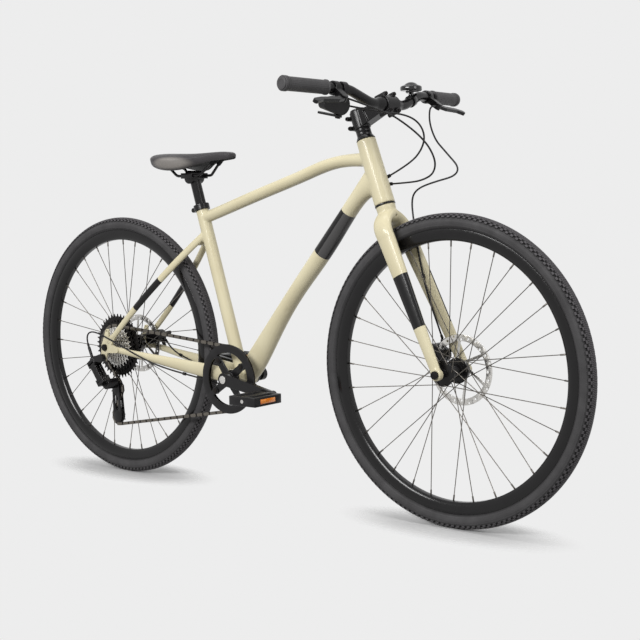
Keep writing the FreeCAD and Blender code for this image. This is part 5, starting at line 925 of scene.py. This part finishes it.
def saddle():
    """The padded saddle: a cover over foam, and a base shell under it."""
    low, high = (Vector(corner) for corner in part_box("saddle"))
    span = high - low
    section = SADDLE_RING + [(-out, down) for out, down in SADDLE_RING[-2:0:-1]]
    count = len(section)
    points = []
    for place, width, drop, thick in SADDLE_STATIONS:
        top = high.z - drop * span.z
        for out, down in section:
            points.append((low.x + place * span.x, out * width * span.y / 2,
                           top - down * thick * span.z))
    piece = mesh_piece("saddle_pad", points, tube_faces(len(SADDLE_STATIONS), count))
    for material in SADDLE_FINISHES:
        piece.data.materials.append(material)
    for face in piece.data.polygons[:(len(SADDLE_STATIONS) - 1) * count]:
        step = face.index % count
        face.material_index = 1 if min(step, count - 1 - step) >= BASE_POINT else 0
    smooth = piece.modifiers.new("surface", "SUBSURF")
    smooth.levels = SADDLE_LEVELS
    smooth.render_levels = SADDLE_LEVELS
    applied(piece)
    put(piece, "seat", SADDLE_FINISHES, ["saddle"])


def rail_sockets():
    """The bosses of the saddle's base that take the ends of the rails."""
    for end, inner, outer, first, last in RAIL_ENDS:
        for name, side in SIDES.items():
            start, finish = (CLAMP_MIDDLE + mirrored(Vector(spot), side)
                             for spot in (inner, outer))
            foot, top = start.lerp(finish, first), start.lerp(finish, last)
            profile = SOCKET_FOOT + [((top - foot).length, SOCKET_RADIUS)]
            boss = lathe(f"{name}_{end}_rail_socket", foot, top - foot, profile, SMALL_AROUND)
            put(boss, "seat", [SADDLE_SHELL])


saddle()
rail_sockets()


# Cables. Routes are control points in millimetres, as in the CAD model.
HOUSING_RADIUS = 0.0021
HOUSING_ORDER = 3
HOUSING_STEPS = 10
HOUSING_ROUND = 3
CLIP_LONGEST = 0.09
SHIFT_ROUTE = [(-78.0, -24.0, 269.6), (-120.0, -25.0, 269.6), (-190.0, -36.0, 283.5),
               (-330.0, -56.0, 307.0), (-400.0, -71.0, 332.0), (-505.0, -83.5, 376.0),
               (-583.0, -80.5, 397.0), (-612.0, -77.5, 376.0), (-601.9, -76.0, 349.4)]
REAR_BRAKE_ROUTE = [(-78.0, 24.0, 269.6), (-120.0, 25.0, 269.6), (-190.0, 35.0, 283.0),
                    (-260.0, 36.0, 296.0), (-328.0, 38.2, 320.0), (-400.0, 46.6, 338.0),
                    (-441.4, 64.0, 362.1)]
STEERING_SHIFT_ROUTE = [(356.0, -128.6, 938.6), (405.0, -70.0, 924.0), (450.0, -46.0, 918.0),
                        (478.0, -32.0, 901.0), (487.0, -20.0, 872.0), (471.0, -9.0, 842.0),
                        (430.0, 5.0, 813.0), (361.0, 20.0, 788.0)]
STEERING_BRAKE_ROUTE = [(388.4, -170.0, 950.4), (424.0, -70.0, 922.0), (452.0, -50.0, 899.0),
                        (481.0, -35.0, 872.0), (499.0, -20.0, 844.0), (508.0, -10.0, 812.0),
                        (496.0, -3.0, 787.0), (463.0, 5.0, 775.0), (425.0, 13.0, 770.5),
                        (366.0, 21.0, 769.0)]
FRONT_BRAKE_ROUTE = [(388.4, 170.0, 950.4), (391.5, 147.0, 949.8), (395.0, 131.0, 938.0),
                     (403.0, 120.0, 906.0), (424.0, 112.0, 868.0), (451.0, 105.0, 845.0),
                     (537.0, 58.5, 787.4), (447.0, 46.0, 767.0), (413.0, 46.0, 753.0),
                     (402.0, 46.0, 732.0), (408.0, 43.0, 690.0), (427.0, 32.6, 624.0),
                     (437.0, 30.2, 581.0), (447.0, 31.9, 538.0), (462.0, 35.6, 487.0),
                     (474.0, 40.7, 450.0), (479.6, 50.9, 416.7)]
FERRULE_PROFILE = [(0.0, 0.0012), (0.0, 0.0027), (0.0008, 0.0031), (0.009, 0.0031),
                   (0.0098, 0.0027), (0.0098, 0.0012)]


def housing(name, route):
    """A cable housing along a smooth line, as a mesh."""
    line = bpy.data.curves.new(name + "_line", "CURVE")
    line.dimensions = "3D"
    spline = line.splines.new("NURBS")
    spline.points.add(len(route) - 1)
    for point, place in zip(spline.points, route):
        point.co = (*metres(place), 1.0)
    spline.use_endpoint_u = True
    spline.order_u = HOUSING_ORDER
    spline.resolution_u = HOUSING_STEPS
    line.bevel_depth = HOUSING_RADIUS
    line.bevel_resolution = HOUSING_ROUND
    line.use_fill_caps = True
    carrier = show(name + "_line", line)
    mesh = final_mesh(carrier)
    bpy.data.objects.remove(carrier)
    return show_smooth(name, mesh)


def ferrule(name, route, body):
    """The metal end sleeve of a housing."""
    tip, before = metres(route[-1]), metres(route[-2])
    sleeve = lathe(name, tip, (before - tip).normalized(), FERRULE_PROFILE, SMALL_AROUND)
    put(sleeve, body, [BLACK_STEEL])


def small_fittings(name, node, body):
    """The clips and guides of a cable node: its loose parts below a size."""
    piece = cad_copy(name, [node])
    drop = []
    for _, used, low, high in loose_parts(piece.data):
        if max(high - low) > CLIP_LONGEST:
            drop += used
    trimmed = bmesh.new()
    trimmed.from_mesh(piece.data)
    trimmed.verts.ensure_lookup_table()
    bmesh.ops.delete(trimmed, geom=[trimmed.verts[index] for index in drop], context="VERTS")
    trimmed.to_mesh(piece.data)
    trimmed.free()
    piece.data.set_sharp_from_angle(angle=CRISP_SHARP)
    put(piece, body, [MOULDED_BLACK], [node])


def crossing_cables():
    """The two housings from the bar to the head tube, as plain meshes; on the bike they bend as
    the steering turns.
    """
    for name, route in (("steering_shift_housing", STEERING_SHIFT_ROUTE),
                        ("steering_brake_housing", STEERING_BRAKE_ROUTE)):
        piece = housing(name, route)
        piece.data.materials.append(HOUSING_BLACK)
        tuple(metres(route[-1]))
        tuple(metres(route[1]))
        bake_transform(piece)
    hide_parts("steering_cables")


small_fittings("frame_cable_clips", "frame_cables", "frame")
small_fittings("fork_cable_clip", "front_brake_cable", "steering")
for name, route, body in (("rear_shift_housing", SHIFT_ROUTE, "frame"),
                          ("rear_brake_housing", REAR_BRAKE_ROUTE, "frame"),
                          ("front_brake_housing", FRONT_BRAKE_ROUTE, "steering")):
    put(housing(name, route), body, [HOUSING_BLACK])
    ferrule(name + "_ferrule", route, body)
crossing_cables()


# Stage, light and camera
FLOOR_SIZE = 6.0
FLOOR_TONE = 0.54
# Where the wheels stand, how far the floor shows round each, and the share where it starts to fade
CONTACTS = (Vector((0.537, 0.0, 0.0)), Vector((-0.537, 0.0, 0.0)))
SHADOW_REACH = Vector((0.33, 0.13, 1.0))
SHADOW_FADE = 0.45
BACKDROP = linear(237)
AMBIENT_BELOW = 0.08
AMBIENT_ABOVE = 0.66
AMBIENT_FAR = 0.50
# Softboxes: place, aim, width, height and power
SOFTBOXES = {
    "front_softbox": ((2.9, -0.3, 1.6), (0.3, 0.0, 0.6), 1.1, 1.9, 24.0),
    "top_softbox": ((0.0, -0.3, 2.8), (0.0, 0.0, 0.4), 2.4, 0.5, 16.0),
    "side_softbox": ((0.0, -2.9, 1.9), (0.0, 0.0, 0.5), 2.0, 0.6, 88.0),
}


def floor():
    """A pale floor that goes over into the backdrop away from the wheels."""
    half = FLOOR_SIZE / 2
    corners = [(-half, -half, 0), (half, -half, 0), (half, half, 0), (-half, half, 0)]
    piece = mesh_piece("studio_floor", corners, [(0, 1, 2, 3)])
    look = Look("studio_floor_pale")
    look.set(Base_Color=grey(FLOOR_TONE), Roughness=0.9, Specular_IOR_Level=0.1)
    away = []
    for spot in CONTACTS:
        offset = look.vector("SUBTRACT", look.places, tuple(spot))
        away.append(look.length(look.vector("DIVIDE", offset, tuple(SHADOW_REACH))))
    clear = look.node("ShaderNodeBsdfTransparent")
    look.surface(look.ramp(look.math("MINIMUM", *away), SHADOW_FADE, 1.0),
                 look.shader.outputs["BSDF"], clear.outputs["BSDF"], "Material Output")
    piece.data.materials.append(look.material)


def world():
    """Soft light, weak from below and stronger from the far side, and an even backdrop.

    The backdrop is what the camera, mirrors and clear pieces see.
    """
    made = bpy.data.worlds.new("studio")
    bpy.context.scene.world = made
    made.use_nodes = True
    nodes = Nodes(made.node_tree)
    ways = nodes.node("ShaderNodeTexCoord").outputs["Generated"]
    parts = nodes.node("ShaderNodeSeparateXYZ", Vector=ways).outputs
    level = nodes.remap(parts["Z"], -1.0, 1.0, AMBIENT_BELOW, AMBIENT_ABOVE).outputs["Result"]
    far = nodes.remap(parts["Y"], 0.0, 1.0, 0.0, AMBIENT_FAR).outputs["Result"]
    light = nodes.tree.nodes["Background"]
    nodes.feed(light.inputs["Color"], grey(1.0))
    nodes.feed(light.inputs["Strength"], nodes.math("ADD", level, far))
    seen = nodes.node("ShaderNodeBackground", Color=grey(BACKDROP))
    rays = nodes.node("ShaderNodeLightPath").outputs
    shown = rays["Is Camera Ray"]
    for name in ("Is Glossy Ray", "Is Transmission Ray"):
        shown = nodes.math("MAXIMUM", shown, rays[name])
    nodes.surface(shown, light.outputs["Background"], seen.outputs["Background"], "World Output")


def lamp(name, place, aim, wide, high, power):
    light = bpy.data.lights.new(name, "AREA")
    light.shape = "RECTANGLE"
    light.size = wide
    light.size_y = high
    light.energy = power
    piece = show(name, light)
    piece.location = place
    piece.rotation_euler = (Vector(aim) - Vector(place)).to_track_quat("-Z", "Y").to_euler()


def camera():
    yaw, pitch, roll = map(math.radians, (CAMERA_YAW, CAMERA_PITCH, CAMERA_ROLL))
    forward = Vector((-math.sin(yaw) * math.cos(pitch), math.cos(yaw) * math.cos(pitch),
                      math.sin(pitch)))
    right = Vector((math.cos(yaw), math.sin(yaw), 0))
    up = right.cross(forward)
    across = right * math.cos(roll) + up * math.sin(roll)
    upright = up * math.cos(roll) - right * math.sin(roll)
    turn = Matrix((across, upright, -forward)).transposed().to_4x4()
    eye = bpy.data.cameras.new("photo_camera")
    eye.lens = CAMERA_LENS
    eye.sensor_width = SENSOR
    piece = show("photo_camera", eye)
    piece.matrix_world = Matrix.Translation(CAMERA_PLACE) @ turn
    bpy.context.scene.camera = piece


floor()
world()
for name, setting in SOFTBOXES.items():
    lamp(name, *setting)
camera()
bpy.context.scene.view_settings.view_transform = "Standard"
